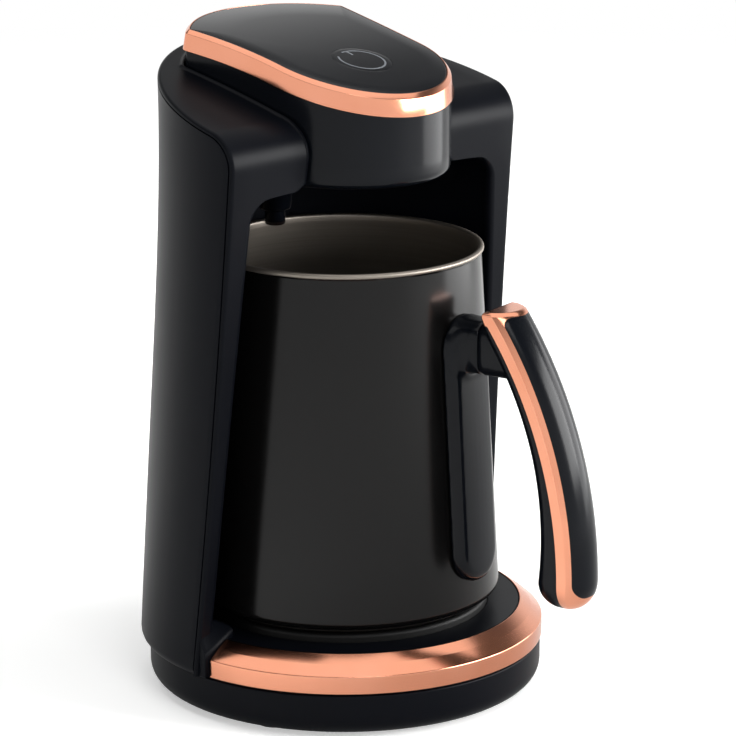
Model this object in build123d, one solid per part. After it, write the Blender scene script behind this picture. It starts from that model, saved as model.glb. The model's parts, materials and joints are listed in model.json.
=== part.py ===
from build123d import *
import os
from math import cos, radians, sin, sqrt, tan

# Electric turkish coffee maker, millimetres.
# The origin is on the pot's axis at table level, the front is towards -Y, +Z is up.

# Running and seam clearances
seam_gap = 0.4          # visible seam between the shell and the front frame
joint_gap = 0.3         # between mouldings that sit inside one another
slip_gap = 0.2          # between pieces that slide over or rest on each other
screw_gap = 0.1         # round a screw in its hole

# Outer shell: circles stacked on an axis that leans forward
shell_foot_z = 14.6
shell_foot_r = 63.6
shell_foot_y = -0.3
shell_low_z = 50.0
shell_low_in = 1.8  # how far each higher circle is inside the foot's
shell_low_r = shell_foot_r - shell_low_in
shell_low_y = -0.5
shell_mid_z = 112.0
shell_mid_in = 3.8
shell_mid_r = shell_foot_r - shell_mid_in
shell_mid_y = -2.9
shell_waist_z = 165.0
shell_waist_in = 4.4
shell_waist_r = shell_foot_r - shell_waist_in
shell_waist_y = -5.3
shell_crown_z = 215.0
shell_crown_in = 3.2
shell_crown_r = shell_foot_r - shell_crown_in
shell_crown_y = -5.2
shell_wall = 2.5
shell_foot_round = 3.2

# Front frame: leaning wing faces that roll over into the sloping deck
front_foot_y = -0.6     # the wing faces' plane at table level
front_lean = 4.8        # degrees, forward going up
deck_height = 182.7     # the deck's plane above the pot's axis
deck_tilt = 13.6        # degrees, rising to the back
deck_roll = 11.0
frame_wall = 2.6
foot_block_depth = 2.9
foot_block_outer_in = 1.3
foot_block_outer_x = shell_foot_r - foot_block_outer_in
foot_block_inner_in = 12.8
foot_block_inner_x = shell_foot_r - foot_block_inner_in
foot_block_low_z = 21.8
foot_block_high_z = 28.3
foot_block_bevel = 1.8

# Bay for the pot
bay_foot_z = 26.0
bay_foot_in = 6.0  # the wings' width at the foot
bay_foot_r = shell_foot_r - bay_foot_in
bay_taper = 6.9
bay_top_r = bay_foot_r - bay_taper
bay_axis_y = -4.0
bay_ceiling = 160.5
bay_corner = 8.5
bay_back_gap = 3.1      # between the pot's wall and the bay's flat back
liner_wall = 2.0

# Head: a rounded snout that widens to the back
head_nose_r = 29.5
head_nose_y = -3.4
head_corner_x = 32.6
head_corner_in = 25.8
head_corner_y = shell_crown_r - head_corner_in
head_back_in = 17.8
head_back_y = shell_crown_r - head_back_in
head_corner_round = 2.0
head_floor_round = 3.0
head_wall = 2.2

# Lid: a copper band round a black plate
lid_height = 195.7      # the lid's top plane above the pot's axis
lid_tilt = 12.9         # degrees, rising to the back
band_height = 6.6
band_proud = 0.4
band_wall = 1.5
band_chamfer = 1.0
lid_plate_wall = 2.4
lid_skirt_wall = 1.6

# Start button, in the lid's own plane
button_r = 9.2
button_y = -7.6
button_gap = 0.25
button_travel = 1.0
button_flange_r = 10.8
button_flange_wall = 1.2
button_stem_r = 2.2
mark_ring_r = 7.6
mark_ring_width = 0.9
mark_height = 0.3
mark_dash_length = 3.4
spring_r = 5.6
spring_wire_r = 0.35
spring_turns = 4.5

# Control board under the lid
board_width = 34.0
board_length = 44.0
board_wall = 1.6
board_depth = 10.4      # from the lid's top down to the board's upper face
board_post_r = 2.4
board_post_x = 13.5
board_post_y = 18.5
board_screw_r = 1.0
board_screw_head_r = 1.9
board_screw_head = 1.3
board_screw_length = 7.0
switch_width = 6.0
switch_height = 3.5
plunger_r = 1.6
plunger_room = 0.3
plunger_height = button_travel + plunger_room
buzzer_r = 5.5
buzzer_height = 4.4
buzzer_y = 11.5
plug_width = 8.0
plug_depth = 5.0
plug_height = 4.0
plug_x = 11.0
plug_y = 11.0

# Overflow sensor under the head
sensor_in = 11.6
sensor_y = head_back_y - sensor_in
sensor_root_r = 8.0
sensor_tip_r = 4.9
sensor_drop = 17.0
sensor_tip_z = bay_ceiling - sensor_drop
sensor_nose_r = 3.2
sensor_nose_drop = 3.7
sensor_nose_z = sensor_tip_z - sensor_nose_drop
sensor_bore_r = 1.9
sensor_lens_wall = 1.2
sensor_board_width = 16.0
sensor_board_length = 12.0
sensor_board_wall = 1.2

# Base
base_in = 3.1
base_r = shell_foot_r - base_in
base_top = 14.4
base_bottom = 1.5
base_round = 5.5
base_wall = 2.2
base_shelf_in = 15.5
base_shelf_r = base_r - base_shelf_in
base_shelf_z = 3.7
base_shelf_wall = 2.2
spigot_top = 24.0
spigot_in = 0.4
spigot_r = base_r - spigot_in
spigot_wall = 1.6
spigot_front_y = 6.0
cover_wall = 2.0
vent_width = 2.4
vent_length = 26.0
vent_pitch = 6.0
vent_count = 5
foot_r = 6.0
foot_height = 2.6
foot_circle_in = 13.5
foot_circle_r = base_r - foot_circle_in

# Copper ring on the front half of the base
ring_out = 0.5
ring_r = base_r + ring_out
ring_low = 15.0
ring_band = 5.5
ring_width = 7.1
ring_inner_r = ring_r - ring_width
ring_inner_z = 25.9
ring_dome = 0.7
ring_wall = 1.6
ring_end_gap = 0.5

# Deck of the base and the hot plate
deck_plate_wall = 4.4
deck_plate_top = 25.4
deck_recess = 2.4
deck_post_r = 3.6
deck_post_in = 11.0
deck_post_circle_r = base_r - deck_post_in
cover_screw_r = 1.5
cover_screw_head_r = 2.9
cover_screw_head = 1.5
cover_screw_length = 12.0
hot_plate_in = 9.9
hot_plate_r = ring_inner_r - hot_plate_in
deck_flange_in = 2.5
deck_flange_r = hot_plate_r - deck_flange_in
hot_plate_top = 28.0
hot_plate_wall = 4.0
hot_plate_round = 1.2
seal_wall = 1.0
stud_r = 2.0
stud_in = 7.0
stud_circle_r = hot_plate_r - stud_in
stud_length = 13.5
nut_r = 3.9
nut_height = 3.0
shield_in = 3.0
shield_r = hot_plate_r - shield_in
shield_wall = 1.0
shield_z = 12.6
element_in = 16.0
element_circle_r = hot_plate_r - element_in
element_r = 3.2
element_arc = 310.0
element_pin_r = 1.2
element_pin_length = 6.0
cutout_r = 8.0
cutout_height = 7.0
probe_r = 3.0
probe_height = 5.0
probe_gap = 2.0
probe_y = cutout_r + probe_r + probe_gap

# Electrical pieces in the base
power_board_width = 44.0
power_board_length = 36.0
power_board_z = 6.0
power_post_r = 2.4
power_post_x = 19.0
power_post_y = 15.0
relay_width = 15.0
relay_length = 11.0
relay_height = 4.6
relay_x = -10.0
relay_y = -6.0
terminal_width = 18.0
terminal_length = 9.5
terminal_height = 8.0
terminal_x = -8.0
terminal_in = 12.5
terminal_y = base_r - terminal_in
gland_z = 8.4
gland_r = 4.0
gland_bore_r = 3.2
gland_flange_r = 4.5
gland_flange_wall = 1.3
gland_length = 8.0
harness_r = 1.6
harness_x = 11.0
harness_low_z = 9.8
harness_bend = 4.2
harness_gap = 0.6
harness_top_z = 169.0

# Pot
pot_foot_out = 3.5
pot_foot_r = hot_plate_r + pot_foot_out
pot_taper = 6.1
pot_rim_r = pot_foot_r - pot_taper
pot_rim_z = 137.0
pot_foot_z = 32.0
pot_bottom_z = 29.7
pot_corner = 2.8
pot_wall = 1.0
pot_bead_r = 0.9
pot_base_in = 4.5
pot_base_r = pot_foot_r - pot_base_in
pot_rest_gap = 0.2

# Handle, built along +X and then turned about the pot's axis
handle_azimuth = 12.5   # degrees from the machine's front towards +X
mount_wall = 1.2
mount_half_width = 7.0
mount_low_z = 62.0
mount_high_z = 112.0
bracket_wall = 3.5
bracket_half_width = 12.0
bracket_low_z = 39.5
bracket_corner = 10.0
arm_low_z = 104.8
arm_height = 16.2
arm_high_z = arm_low_z + arm_height
bracket_top_step = 0.5
bracket_high_z = arm_high_z + bracket_top_step
arm_half_width = 7.5
arm_length = 10.6
arm_end_r = pot_rim_r + arm_length
arm_round = 5.0
grip_half_width = 8.5
grip_top_step = 4.3
grip_top_z = arm_high_z + grip_top_step
grip_top_out = 2.0
grip_top_reach = arm_end_r + grip_top_out
grip_top_bevel = 1.2
grip_inner_r = 105.0    # arc of the face towards the pot
grip_inner_out = 21.7
grip_inner_reach = arm_end_r + grip_inner_out
grip_inner_z = 57.0
grip_split_r = 133.0    # arc where the core meets the copper trim
grip_core_depth = 7.1
grip_split_reach = grip_inner_reach + grip_core_depth
grip_split_z = 44.0
grip_split_out = 4.2
grip_split_top = arm_end_r + grip_split_out
grip_tip_out = 7.7
grip_tip_reach = grip_inner_reach + grip_tip_out
grip_tip_z = 45.2
grip_tip_r = 8.5
grip_tip_drop = 0.5     # how far below the end's arc the front view's rounding starts
grip_tip_round = 7.8
grip_core_round = 3.5
grip_crown = 7.8        # the insert's crown above the split
trim_side = 2.8         # the trim's side facet, out from the split
trim_depth = 5.0        # the trim's inner edge, out from the split
trim_wall = 2.1
trim_web = 1.0
trim_top_lip = 1.2
trim_tip_lip = 6.0
insert_top_round = 2.8
insert_tip_round = 5.4
grip_screw_r = 1.6
grip_screw_head_r = 3.0
grip_screw_head = 2.0
grip_screw_length = 12.0
grip_screw_up = 7.7
grip_screw_z = arm_low_z + grip_screw_up

# Derived sizes
far = 90.0              # beyond every solid, for cutting tools
nodes = {}


def tilted_floor(height, tilt):
    """Everything below a plane that rises to the back, as a large block."""
    block = Box(2 * far, 3 * far, 3 * far, align=(Align.CENTER, Align.CENTER, Align.MAX))
    return Pos(0, 0, height) * Rot(tilt, 0, 0) * block


def shell_volume(inset):
    """The leaning, slightly waisted body, inset evenly from its outer surface."""
    stations = (
        (shell_foot_z, shell_foot_r, shell_foot_y),
        (shell_low_z, shell_low_r, shell_low_y),
        (shell_mid_z, shell_mid_r, shell_mid_y),
        (shell_waist_z, shell_waist_r, shell_waist_y),
        (shell_crown_z, shell_crown_r, shell_crown_y),
    )
    return loft([Pos(0, y, z) * Circle(r - inset) for z, r, y in stations])


def side_volume(inset):
    """The body's side view, wing face, roll and deck, drawn in YZ and run along X."""
    lean = tan(radians(front_lean))
    rise = tan(radians(deck_tilt))
    front = front_foot_y + inset / cos(radians(front_lean))
    deck = deck_height - inset / cos(radians(deck_tilt))
    corner_y = (front - lean * deck) / (1 + lean * rise)
    corner_z = deck + rise * corner_y
    outline = make_face(
        Polyline((front, 0), (corner_y, corner_z), (far, deck + rise * far), (far, 0), close=True)
    )
    corner = outline.vertices().sort_by_distance((corner_y, corner_z, 0))[0]
    outline = fillet(corner, deck_roll - inset)
    return extrude(Plane.YZ * outline, amount=far, both=True)


def pot_radius(z):
    """Outer radius of the pot's straight wall."""
    return pot_foot_r + (pot_rim_r - pot_foot_r) * (z - pot_foot_z) / (pot_rim_z - pot_foot_z)


def bay_radius(z):
    """Radius of the bay's tapered side wall."""
    return bay_foot_r + (bay_top_r - bay_foot_r) * (z - bay_foot_z) / (bay_ceiling - bay_foot_z)


def bay_back(z):
    """Y of the bay's flat back, which follows the pot's taper."""
    return pot_radius(z) + bay_back_gap


def bay_volume(grow):
    """The room for the pot, grown evenly: a taper with a rounded ceiling and a flat back."""
    top = bay_ceiling + grow
    outline = make_face(
        Polyline((0, 0), (bay_radius(0) + grow, 0), (bay_radius(top) + grow, top), (0, top), close=True)
    )
    corner = outline.vertices().sort_by_distance((bay_radius(top) + grow, top, 0))[0]
    outline = fillet(corner, bay_corner + grow)
    taper = Pos(0, bay_axis_y, 0) * revolve(Plane.XZ * outline, axis=Axis.Z)
    back = make_face(
        Polyline((-far, 0), (bay_back(0) + grow, 0), (bay_back(top) + grow, top), (-far, top), close=True)
    )
    return taper & extrude(Plane.YZ * back, amount=far, both=True)


def circle_meeting(x1, r1, x2, y2, r2):
    """Where a circle about (x1, nose) and one about (x2, y2) cross, on the right and to the back."""
    dx = x2 - x1
    dy = y2 - head_nose_y
    span = sqrt(dx**2 + dy**2)
    along = (span**2 + r1**2 - r2**2) / (2 * span)
    across = sqrt(r1**2 - along**2)
    ux = dx / span
    uy = dy / span
    first = (x1 + along * ux - across * uy, head_nose_y + along * uy + across * ux)
    second = (x1 + along * ux + across * uy, head_nose_y + along * uy - across * ux)
    return max(first, second, key=lambda point: point[1])


def point_from(centre, other, radius):
    """The point at a radius from a centre, on the side of another point."""
    dx = other[0] - centre[0]
    dy = other[1] - centre[1]
    span = sqrt(dx**2 + dy**2)
    return (centre[0] + radius * dx / span, centre[1] + radius * dy / span)


def head_outline(grow):
    """Plan of the head: a round nose, hollow sides that widen back to corners, a bowed back."""
    length = head_corner_y - head_nose_y
    flare = head_corner_x - head_nose_r
    bow = head_back_y - head_corner_y
    side_r = (length**2 + flare**2) / (2 * flare)
    back_r = (head_corner_x**2 + bow**2) / (2 * bow)
    side_x = head_nose_r + side_r
    back_y = head_back_y - back_r
    corner_r = max(head_corner_round + grow, 0.3)
    corner = circle_meeting(side_x, side_r - grow + corner_r, 0, back_y, back_r + grow - corner_r)
    nose = (head_nose_r + grow, head_nose_y)
    side_end = point_from((side_x, head_nose_y), corner, side_r - grow)
    back_end = point_from((0, back_y), corner, back_r + grow)
    side_chord = ((nose[0] + side_end[0]) / 2, (nose[1] + side_end[1]) / 2)
    side_mid = point_from((side_x, head_nose_y), side_chord, side_r - grow)
    corner_chord = ((side_end[0] + back_end[0]) / 2, (side_end[1] + back_end[1]) / 2)
    corner_mid = point_from(corner, corner_chord, corner_r)

    def flip(point):
        return (-point[0], point[1])

    nose_tip = (0, head_nose_y - head_nose_r - grow)
    edges = [
        ThreePointArc(flip(nose), nose_tip, nose),
        ThreePointArc(nose, side_mid, side_end),
        ThreePointArc(side_end, corner_mid, back_end),
        ThreePointArc(back_end, (0, head_back_y + grow), flip(back_end)),
        ThreePointArc(flip(back_end), flip(corner_mid), flip(side_end)),
        ThreePointArc(flip(side_end), flip(side_mid), flip(nose)),
    ]
    return make_face(edges)


def head_prism(grow, low):
    """The head's plan, grown, from a height upwards past the lid."""
    return Pos(0, 0, low) * extrude(head_outline(grow), amount=2 * far)


def lid_place(x, y, depth):
    """A place in the lid's own plane, a depth below its top face."""
    plane = Plane(
        origin=(0, 0, lid_height),
        x_dir=(1, 0, 0),
        z_dir=(0, -sin(radians(lid_tilt)), cos(radians(lid_tilt))),
    )
    return plane * Pos(x, y, -depth)


def upward(shape_radius, height):
    """A cylinder that stands on its place."""
    return Cylinder(shape_radius, height, align=(Align.CENTER, Align.CENTER, Align.MIN))


def standing_box(width, length, height):
    """A box that stands on its place."""
    return Box(width, length, height, align=(Align.CENTER, Align.CENTER, Align.MIN))


def four_places(x, y):
    """The four corners of a rectangle about the Z axis."""
    return [(sx * x, sy * y) for sx in (-1, 1) for sy in (-1, 1)]


def foot_block_face():
    """Y of the foot blocks' front faces."""
    return front_foot_y - tan(radians(front_lean)) * ring_low - foot_block_depth


# The machine's shells


def make_outer_shell():
    solid = shell_volume(0)
    rim = solid.edges().group_by(Axis.Z)[0]
    solid = fillet(rim, shell_foot_round)
    lip_top = shell_foot_z + shell_foot_round
    solid -= shell_volume(shell_wall) - upward(far, lip_top)
    solid -= upward(spigot_r + slip_gap, lip_top)
    return solid & side_volume(frame_wall + seam_gap)


def make_front_frame():
    solid = (shell_volume(0) & side_volume(0)) - side_volume(frame_wall)
    block_outline = make_face(
        Polyline(
            (foot_block_inner_x, ring_low),
            (foot_block_outer_x, ring_low),
            (foot_block_outer_x, foot_block_low_z),
            (foot_block_inner_x, foot_block_high_z),
            close=True,
        )
    )
    block_length = foot_block_depth + frame_wall / 2
    block = extrude(Plane.XZ.offset(-foot_block_face() - block_length) * block_outline, amount=block_length)
    front_edges = block.edges().group_by(Axis.Y)[0]
    block = chamfer(front_edges.sort_by(Axis.Z)[-1], foot_block_bevel)
    solid -= bay_volume(0)
    solid += block
    solid += mirror(block, about=Plane.YZ)
    solid -= head_prism(joint_gap, bay_ceiling - bay_corner)
    solid -= upward(base_r + joint_gap, ring_low)
    solid -= upward(ring_inner_r + slip_gap, deck_plate_top + slip_gap)
    return solid


def make_bay_liner():
    solid = bay_volume(liner_wall) - bay_volume(0)
    solid &= side_volume(frame_wall + slip_gap)
    solid -= upward(far, deck_plate_top)
    solid -= head_prism(joint_gap, bay_ceiling - bay_corner)
    return solid


def make_head_shell():
    rim_height = lid_height - band_height
    solid = head_prism(0, bay_ceiling)
    floor_edges = solid.edges().group_by(Axis.Z)[0]
    solid = fillet(floor_edges, head_floor_round)
    solid &= tilted_floor(rim_height, lid_tilt)
    solid -= head_prism(-head_wall, bay_ceiling + head_wall)
    back_y = head_back_y - head_wall
    hole = Cylinder(harness_r + joint_gap, 4 * head_wall, rotation=(90, 0, 0))
    solid -= Pos(harness_x, back_y, harness_top_z) * hole
    solid -= Pos(0, sensor_y, bay_ceiling) * upward(sensor_bore_r, head_wall)
    return solid


def make_lid_band():
    low = lid_height - band_height
    solid = head_prism(band_proud, bay_ceiling) & tilted_floor(lid_height, lid_tilt)
    top = solid.faces().sort_by(Axis.Z)[-1]
    solid = chamfer(top.edges(), band_chamfer)
    solid -= head_prism(band_proud - band_wall, bay_ceiling)
    return solid - tilted_floor(low, lid_tilt)


def make_lid_plate():
    inner = band_proud - band_wall - slip_gap
    low = lid_height - band_height
    plate_low = lid_height - lid_plate_wall / cos(radians(lid_tilt))
    solid = head_prism(inner, bay_ceiling) & tilted_floor(lid_height, lid_tilt)
    hollow = head_prism(inner - lid_skirt_wall, bay_ceiling) & tilted_floor(plate_low, lid_tilt)
    solid -= hollow
    solid -= tilted_floor(low, lid_tilt)
    post = upward(board_post_r, board_depth - lid_plate_wall)
    pilot = upward(board_screw_r + screw_gap, board_screw_length)
    for x, y in four_places(board_post_x, board_post_y):
        solid += lid_place(x, y, board_depth) * post
        solid -= lid_place(x, y, board_depth) * pilot
    solid -= lid_place(0, button_y, lid_plate_wall * 1.5) * upward(button_r + button_gap, 2 * lid_plate_wall)
    return solid


def make_start_button():
    stem = board_depth - switch_height - plunger_height - lid_plate_wall - joint_gap
    flange_depth = lid_plate_wall + joint_gap + button_flange_wall
    solid = lid_place(0, button_y, lid_plate_wall + joint_gap) * upward(button_r, lid_plate_wall + joint_gap)
    solid += lid_place(0, button_y, flange_depth) * upward(button_flange_r, button_flange_wall)
    solid += lid_place(0, button_y, lid_plate_wall + joint_gap + stem) * upward(button_stem_r, stem)
    ring = upward(mark_ring_r, mark_height) - upward(mark_ring_r - mark_ring_width, mark_height)
    gap = standing_box(mark_ring_r, 2 * mark_ring_r, mark_height)
    ring -= Pos(0, mark_ring_r, 0) * gap
    solid += lid_place(0, button_y, 0) * ring
    dash = Pos(0, mark_ring_r - mark_dash_length / 2, 0) * standing_box(
        mark_ring_width, mark_dash_length, mark_height
    )
    solid += lid_place(0, button_y, 0) * dash
    return solid


def make_button_spring():
    height = board_depth - lid_plate_wall - joint_gap - button_flange_wall - 2 * spring_wire_r
    path = Helix(pitch=height / spring_turns, height=height, radius=spring_r)
    start = Plane(origin=path @ 0, z_dir=path % 0)
    coil = sweep(start * Circle(spring_wire_r), path=path, is_frenet=True)
    return lid_place(0, button_y, board_depth - spring_wire_r) * coil


# The electronics under the lid


def make_control_board():
    solid = lid_place(0, 0, board_depth + board_wall) * standing_box(board_width, board_length, board_wall)
    for x, y in four_places(board_post_x, board_post_y):
        solid -= lid_place(x, y, board_depth + 2 * board_wall) * upward(board_screw_r + screw_gap, 4 * board_wall)
    plug = standing_box(plug_width, plug_depth, plug_height)
    solid += lid_place(plug_x, plug_y, board_depth + board_wall + plug_height) * plug
    return solid


def make_board_screws():
    depth = board_depth + board_wall
    solids = []
    for x, y in four_places(board_post_x, board_post_y):
        head = lid_place(x, y, depth + board_screw_head) * upward(board_screw_head_r, board_screw_head)
        shank = lid_place(x, y, depth) * upward(board_screw_r, board_screw_length)
        solids.append(head + shank)
    return Compound(solids)


def make_tact_switch():
    solid = lid_place(0, button_y, board_depth) * standing_box(switch_width, switch_width, switch_height)
    well = button_travel + plunger_height
    return solid - lid_place(0, button_y, board_depth - switch_height + well) * upward(
        plunger_r + slip_gap, 2 * well
    )


def make_switch_plunger():
    depth = board_depth - switch_height
    return lid_place(0, button_y, depth) * upward(plunger_r, plunger_height)


def make_buzzer():
    solid = lid_place(0, buzzer_y, board_depth) * upward(buzzer_r, buzzer_height)
    return solid - lid_place(0, buzzer_y, board_depth - buzzer_height / 2) * upward(screw_gap * 10, buzzer_height)


# The overflow sensor


def make_sensor_housing():
    root = Pos(0, sensor_y, 0)
    cone_height = bay_ceiling - sensor_tip_z
    cone = Cone(sensor_tip_r, sensor_root_r, cone_height, align=(Align.CENTER, Align.CENTER, Align.MIN))
    solid = Pos(0, 0, sensor_tip_z) * cone
    solid += Pos(0, 0, sensor_nose_z) * upward(sensor_nose_r, sensor_tip_z - sensor_nose_z)
    solid -= Pos(0, 0, sensor_nose_z) * upward(sensor_bore_r, 2 * cone_height)
    return root * solid


def make_sensor_lens():
    solid = Pos(0, sensor_y, sensor_nose_z - sensor_lens_wall) * upward(sensor_nose_r, sensor_lens_wall)
    rim = solid.edges().group_by(Axis.Z)[0]
    return fillet(rim, sensor_lens_wall * 0.7)


def make_sensor_board():
    floor = bay_ceiling + head_wall
    return Pos(0, sensor_y, floor) * standing_box(sensor_board_width, sensor_board_length, sensor_board_wall)


# The base


def make_base_shell():
    outer = make_face(
        Polyline((0, base_bottom), (base_r, base_bottom), (base_r, base_top), (0, base_top), close=True)
    )
    corner = outer.vertices().sort_by_distance((base_r, base_bottom, 0))[0]
    outer = fillet(corner, base_round)
    inner_r = base_r - base_wall
    inner_low = base_shelf_z + base_shelf_wall
    cavity = make_face(
        Polyline((0, inner_low), (inner_r, inner_low), (inner_r, spigot_top), (0, spigot_top), close=True)
    )
    solid = revolve(Plane.XZ * outer, axis=Axis.Z) - revolve(Plane.XZ * cavity, axis=Axis.Z)
    spigot = Pos(0, 0, base_top - spigot_wall) * (
        upward(spigot_r, spigot_top - base_top + spigot_wall)
        - upward(spigot_r - spigot_wall, spigot_top)
    )
    keep = Pos(0, spigot_front_y, 0) * Box(
        2 * far, far, 2 * far, align=(Align.CENTER, Align.MIN, Align.CENTER)
    )
    solid += spigot & keep
    solid -= upward(base_shelf_r, inner_low)
    solid -= upward(base_r - base_round, base_shelf_z)
    bore = Cylinder(gland_r + screw_gap, 2 * gland_length, rotation=(90, 0, 0))
    solid -= Pos(0, base_r, gland_z) * bore
    for hole in deck_post_places():
        solid -= hole * upward(cover_screw_r + screw_gap, inner_low)
    return solid


def deck_post_places():
    """Where the base's four screws stand, between the feet."""
    reach = deck_post_circle_r * sin(radians(45))
    return [Pos(x, y, 0) for x, y in four_places(reach, reach)]


def foot_places():
    """Where the four rubber feet stand."""
    turns = (20, 160, 200, 340)
    return [Rot(0, 0, turn) * Pos(foot_circle_r, 0, 0) for turn in turns]


def make_bottom_cover():
    solid = Pos(0, 0, base_bottom) * upward(base_r - base_round - joint_gap, cover_wall)
    for number in range(vent_count):
        y = (number - (vent_count - 1) / 2) * vent_pitch
        solid -= Pos(0, y, 0) * standing_box(vent_length, vent_width, 2 * cover_wall + base_bottom)
    for place in foot_places():
        solid -= place * upward(foot_r + screw_gap, foot_height)
    for place in deck_post_places():
        solid -= place * upward(cover_screw_r + screw_gap, far)
        solid -= place * upward(cover_screw_head_r + screw_gap, base_bottom + cover_screw_head)
    post_low = base_bottom + cover_wall
    for x, y in four_places(power_post_x, power_post_y):
        solid += Pos(x, y, post_low) * upward(power_post_r, power_board_z - post_low)
    return solid


def make_feet():
    pads = []
    for place in foot_places():
        pad = place * upward(foot_r, foot_height)
        pads.append(pad)
    return Compound(pads)


def make_cover_screws():
    head_low = base_bottom + slip_gap
    head = Pos(0, 0, head_low) * upward(cover_screw_head_r, cover_screw_head - slip_gap)
    screw = head + Pos(0, 0, head_low) * upward(cover_screw_r, cover_screw_length)
    return Compound([place * screw for place in deck_post_places()])


def make_base_ring():
    low = ring_low
    shoulder = ring_low + ring_band
    crown_r = (ring_r + ring_inner_r) / 2 + ring_dome
    crown_z = (shoulder + ring_inner_z) / 2 + ring_dome
    inside_r = ring_r - ring_wall
    outline = make_face(
        [
            Line((ring_r, low), (ring_r, shoulder)),
            ThreePointArc((ring_r, shoulder), (crown_r, crown_z), (ring_inner_r, ring_inner_z)),
            Line((ring_inner_r, ring_inner_z), (ring_inner_r, ring_inner_z - ring_wall)),
            Line((ring_inner_r, ring_inner_z - ring_wall), (inside_r, shoulder - ring_wall)),
            Line((inside_r, shoulder - ring_wall), (inside_r, low)),
            Line((inside_r, low), (ring_r, low)),
        ]
    )
    solid = revolve(Plane.XZ * outline, axis=Axis.Z)
    behind = Box(2 * far, 2 * far, 2 * far, align=(Align.CENTER, Align.MIN, Align.CENTER))
    return solid - Pos(0, foot_block_face() - ring_end_gap, 0) * behind


def make_deck_plate():
    low = deck_plate_top - deck_plate_wall
    disc = upward(ring_inner_r - slip_gap, deck_plate_wall)
    solid = Pos(0, 0, low) * disc
    behind = bay_volume(liner_wall) & side_volume(frame_wall + slip_gap)
    slab = Pos(0, 0, low) * upward(spigot_r - spigot_wall - slip_gap, deck_plate_wall)
    solid += behind & slab
    recess = Pos(0, 0, deck_plate_top - deck_recess) * upward(hot_plate_r + joint_gap, far)
    solid -= recess
    solid -= upward(deck_flange_r, far)
    post_low = base_shelf_z + base_shelf_wall
    for place in deck_post_places():
        solid += place * Pos(0, 0, post_low) * upward(deck_post_r, low - post_low)
        solid -= place * upward(cover_screw_r + screw_gap, cover_screw_length + 2 * base_bottom)
    return solid


def make_plate_seal():
    low = deck_plate_top - deck_recess
    solid = upward(hot_plate_r, seal_wall) - upward(deck_flange_r, seal_wall)
    return Pos(0, 0, low) * solid


def stud_places():
    """Where the hot plate's three studs stand."""
    return [Rot(0, 0, 90 + turn) * Pos(stud_circle_r, 0, 0) for turn in (0, 120, 240)]


def hot_plate_low():
    """Height of the hot plate's underside."""
    return deck_plate_top - deck_recess + seal_wall


def make_hot_plate():
    low = hot_plate_low()
    solid = Pos(0, 0, low) * upward(hot_plate_r, hot_plate_top - low)
    rim = solid.edges().group_by(Axis.Z)[-1]
    solid = fillet(rim, hot_plate_round)
    for place in stud_places():
        solid += place * Pos(0, 0, low - stud_length) * upward(stud_r, stud_length)
    return solid


def make_plate_nuts():
    nut = extrude(RegularPolygon(nut_r, 6), amount=nut_height) - upward(stud_r + screw_gap, nut_height)
    return Compound([place * Pos(0, 0, shield_z - nut_height) * nut for place in stud_places()])


def make_heat_shield():
    solid = Pos(0, 0, shield_z) * upward(shield_r, shield_wall)
    rim = upward(shield_r, hot_plate_low() - shield_z) - upward(shield_r - shield_wall, far)
    solid += Pos(0, 0, shield_z) * rim
    for place in stud_places():
        solid -= place * upward(stud_r + screw_gap, far)
    opening = standing_box(element_circle_r, 4 * element_r, far)
    return solid - Pos(element_circle_r, 0, 0) * opening


def make_heater_element():
    middle_z = hot_plate_low() - element_r
    section = Plane.XZ * Pos(element_circle_r, middle_z) * Circle(element_r)
    tube = revolve(section, axis=Axis.Z, revolution_arc=element_arc)
    solid = Rot(0, 0, (360 - element_arc) / 2) * tube
    for side in (-1, 1):
        turn = side * (360 - element_arc) / 2
        pin = Pos(element_circle_r, 0, middle_z - element_pin_length) * upward(
            element_pin_r, element_pin_length
        )
        solid += Rot(0, 0, turn) * pin
    return solid


def make_thermal_cutout():
    low = hot_plate_low() - cutout_height
    solid = Pos(0, 0, low) * upward(cutout_r, cutout_height)
    tab = standing_box(3 * cutout_r, cutout_r / 2, cutout_height / 5)
    return solid + Pos(0, 0, low + cutout_height / 2) * tab


def make_plate_probe():
    low = hot_plate_low() - probe_height
    return Pos(0, -probe_y, low) * upward(probe_r, probe_height)


def make_power_board():
    solid = Pos(0, 0, power_board_z) * standing_box(power_board_width, power_board_length, board_wall)
    plug = standing_box(plug_width, plug_depth, plug_height)
    return solid + Pos(harness_x, power_board_length / 2 - plug_depth / 2, power_board_z + board_wall) * plug


def make_relay():
    low = power_board_z + board_wall
    return Pos(relay_x, relay_y, low) * standing_box(relay_width, relay_length, relay_height)


def make_terminal_block():
    low = base_shelf_z + base_shelf_wall
    solid = Pos(terminal_x, terminal_y, low) * standing_box(terminal_width, terminal_length, terminal_height)
    for number in (-1, 0, 1):
        well = upward(terminal_width / 10, terminal_height)
        solid -= Pos(terminal_x + number * terminal_width / 3.2, terminal_y, low + terminal_height / 2) * well
    return solid


def make_cord_gland():
    along = Rot(90, 0, 0)
    outer_y = base_r + gland_flange_wall
    barrel = along * upward(gland_r, gland_length)
    flange = along * upward(gland_flange_r, gland_flange_wall)
    solid = Pos(0, outer_y, gland_z) * (barrel + flange)
    bore = Pos(0, outer_y + 1, gland_z) * along * upward(gland_bore_r, 2 * gland_length)
    return solid - bore


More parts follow.
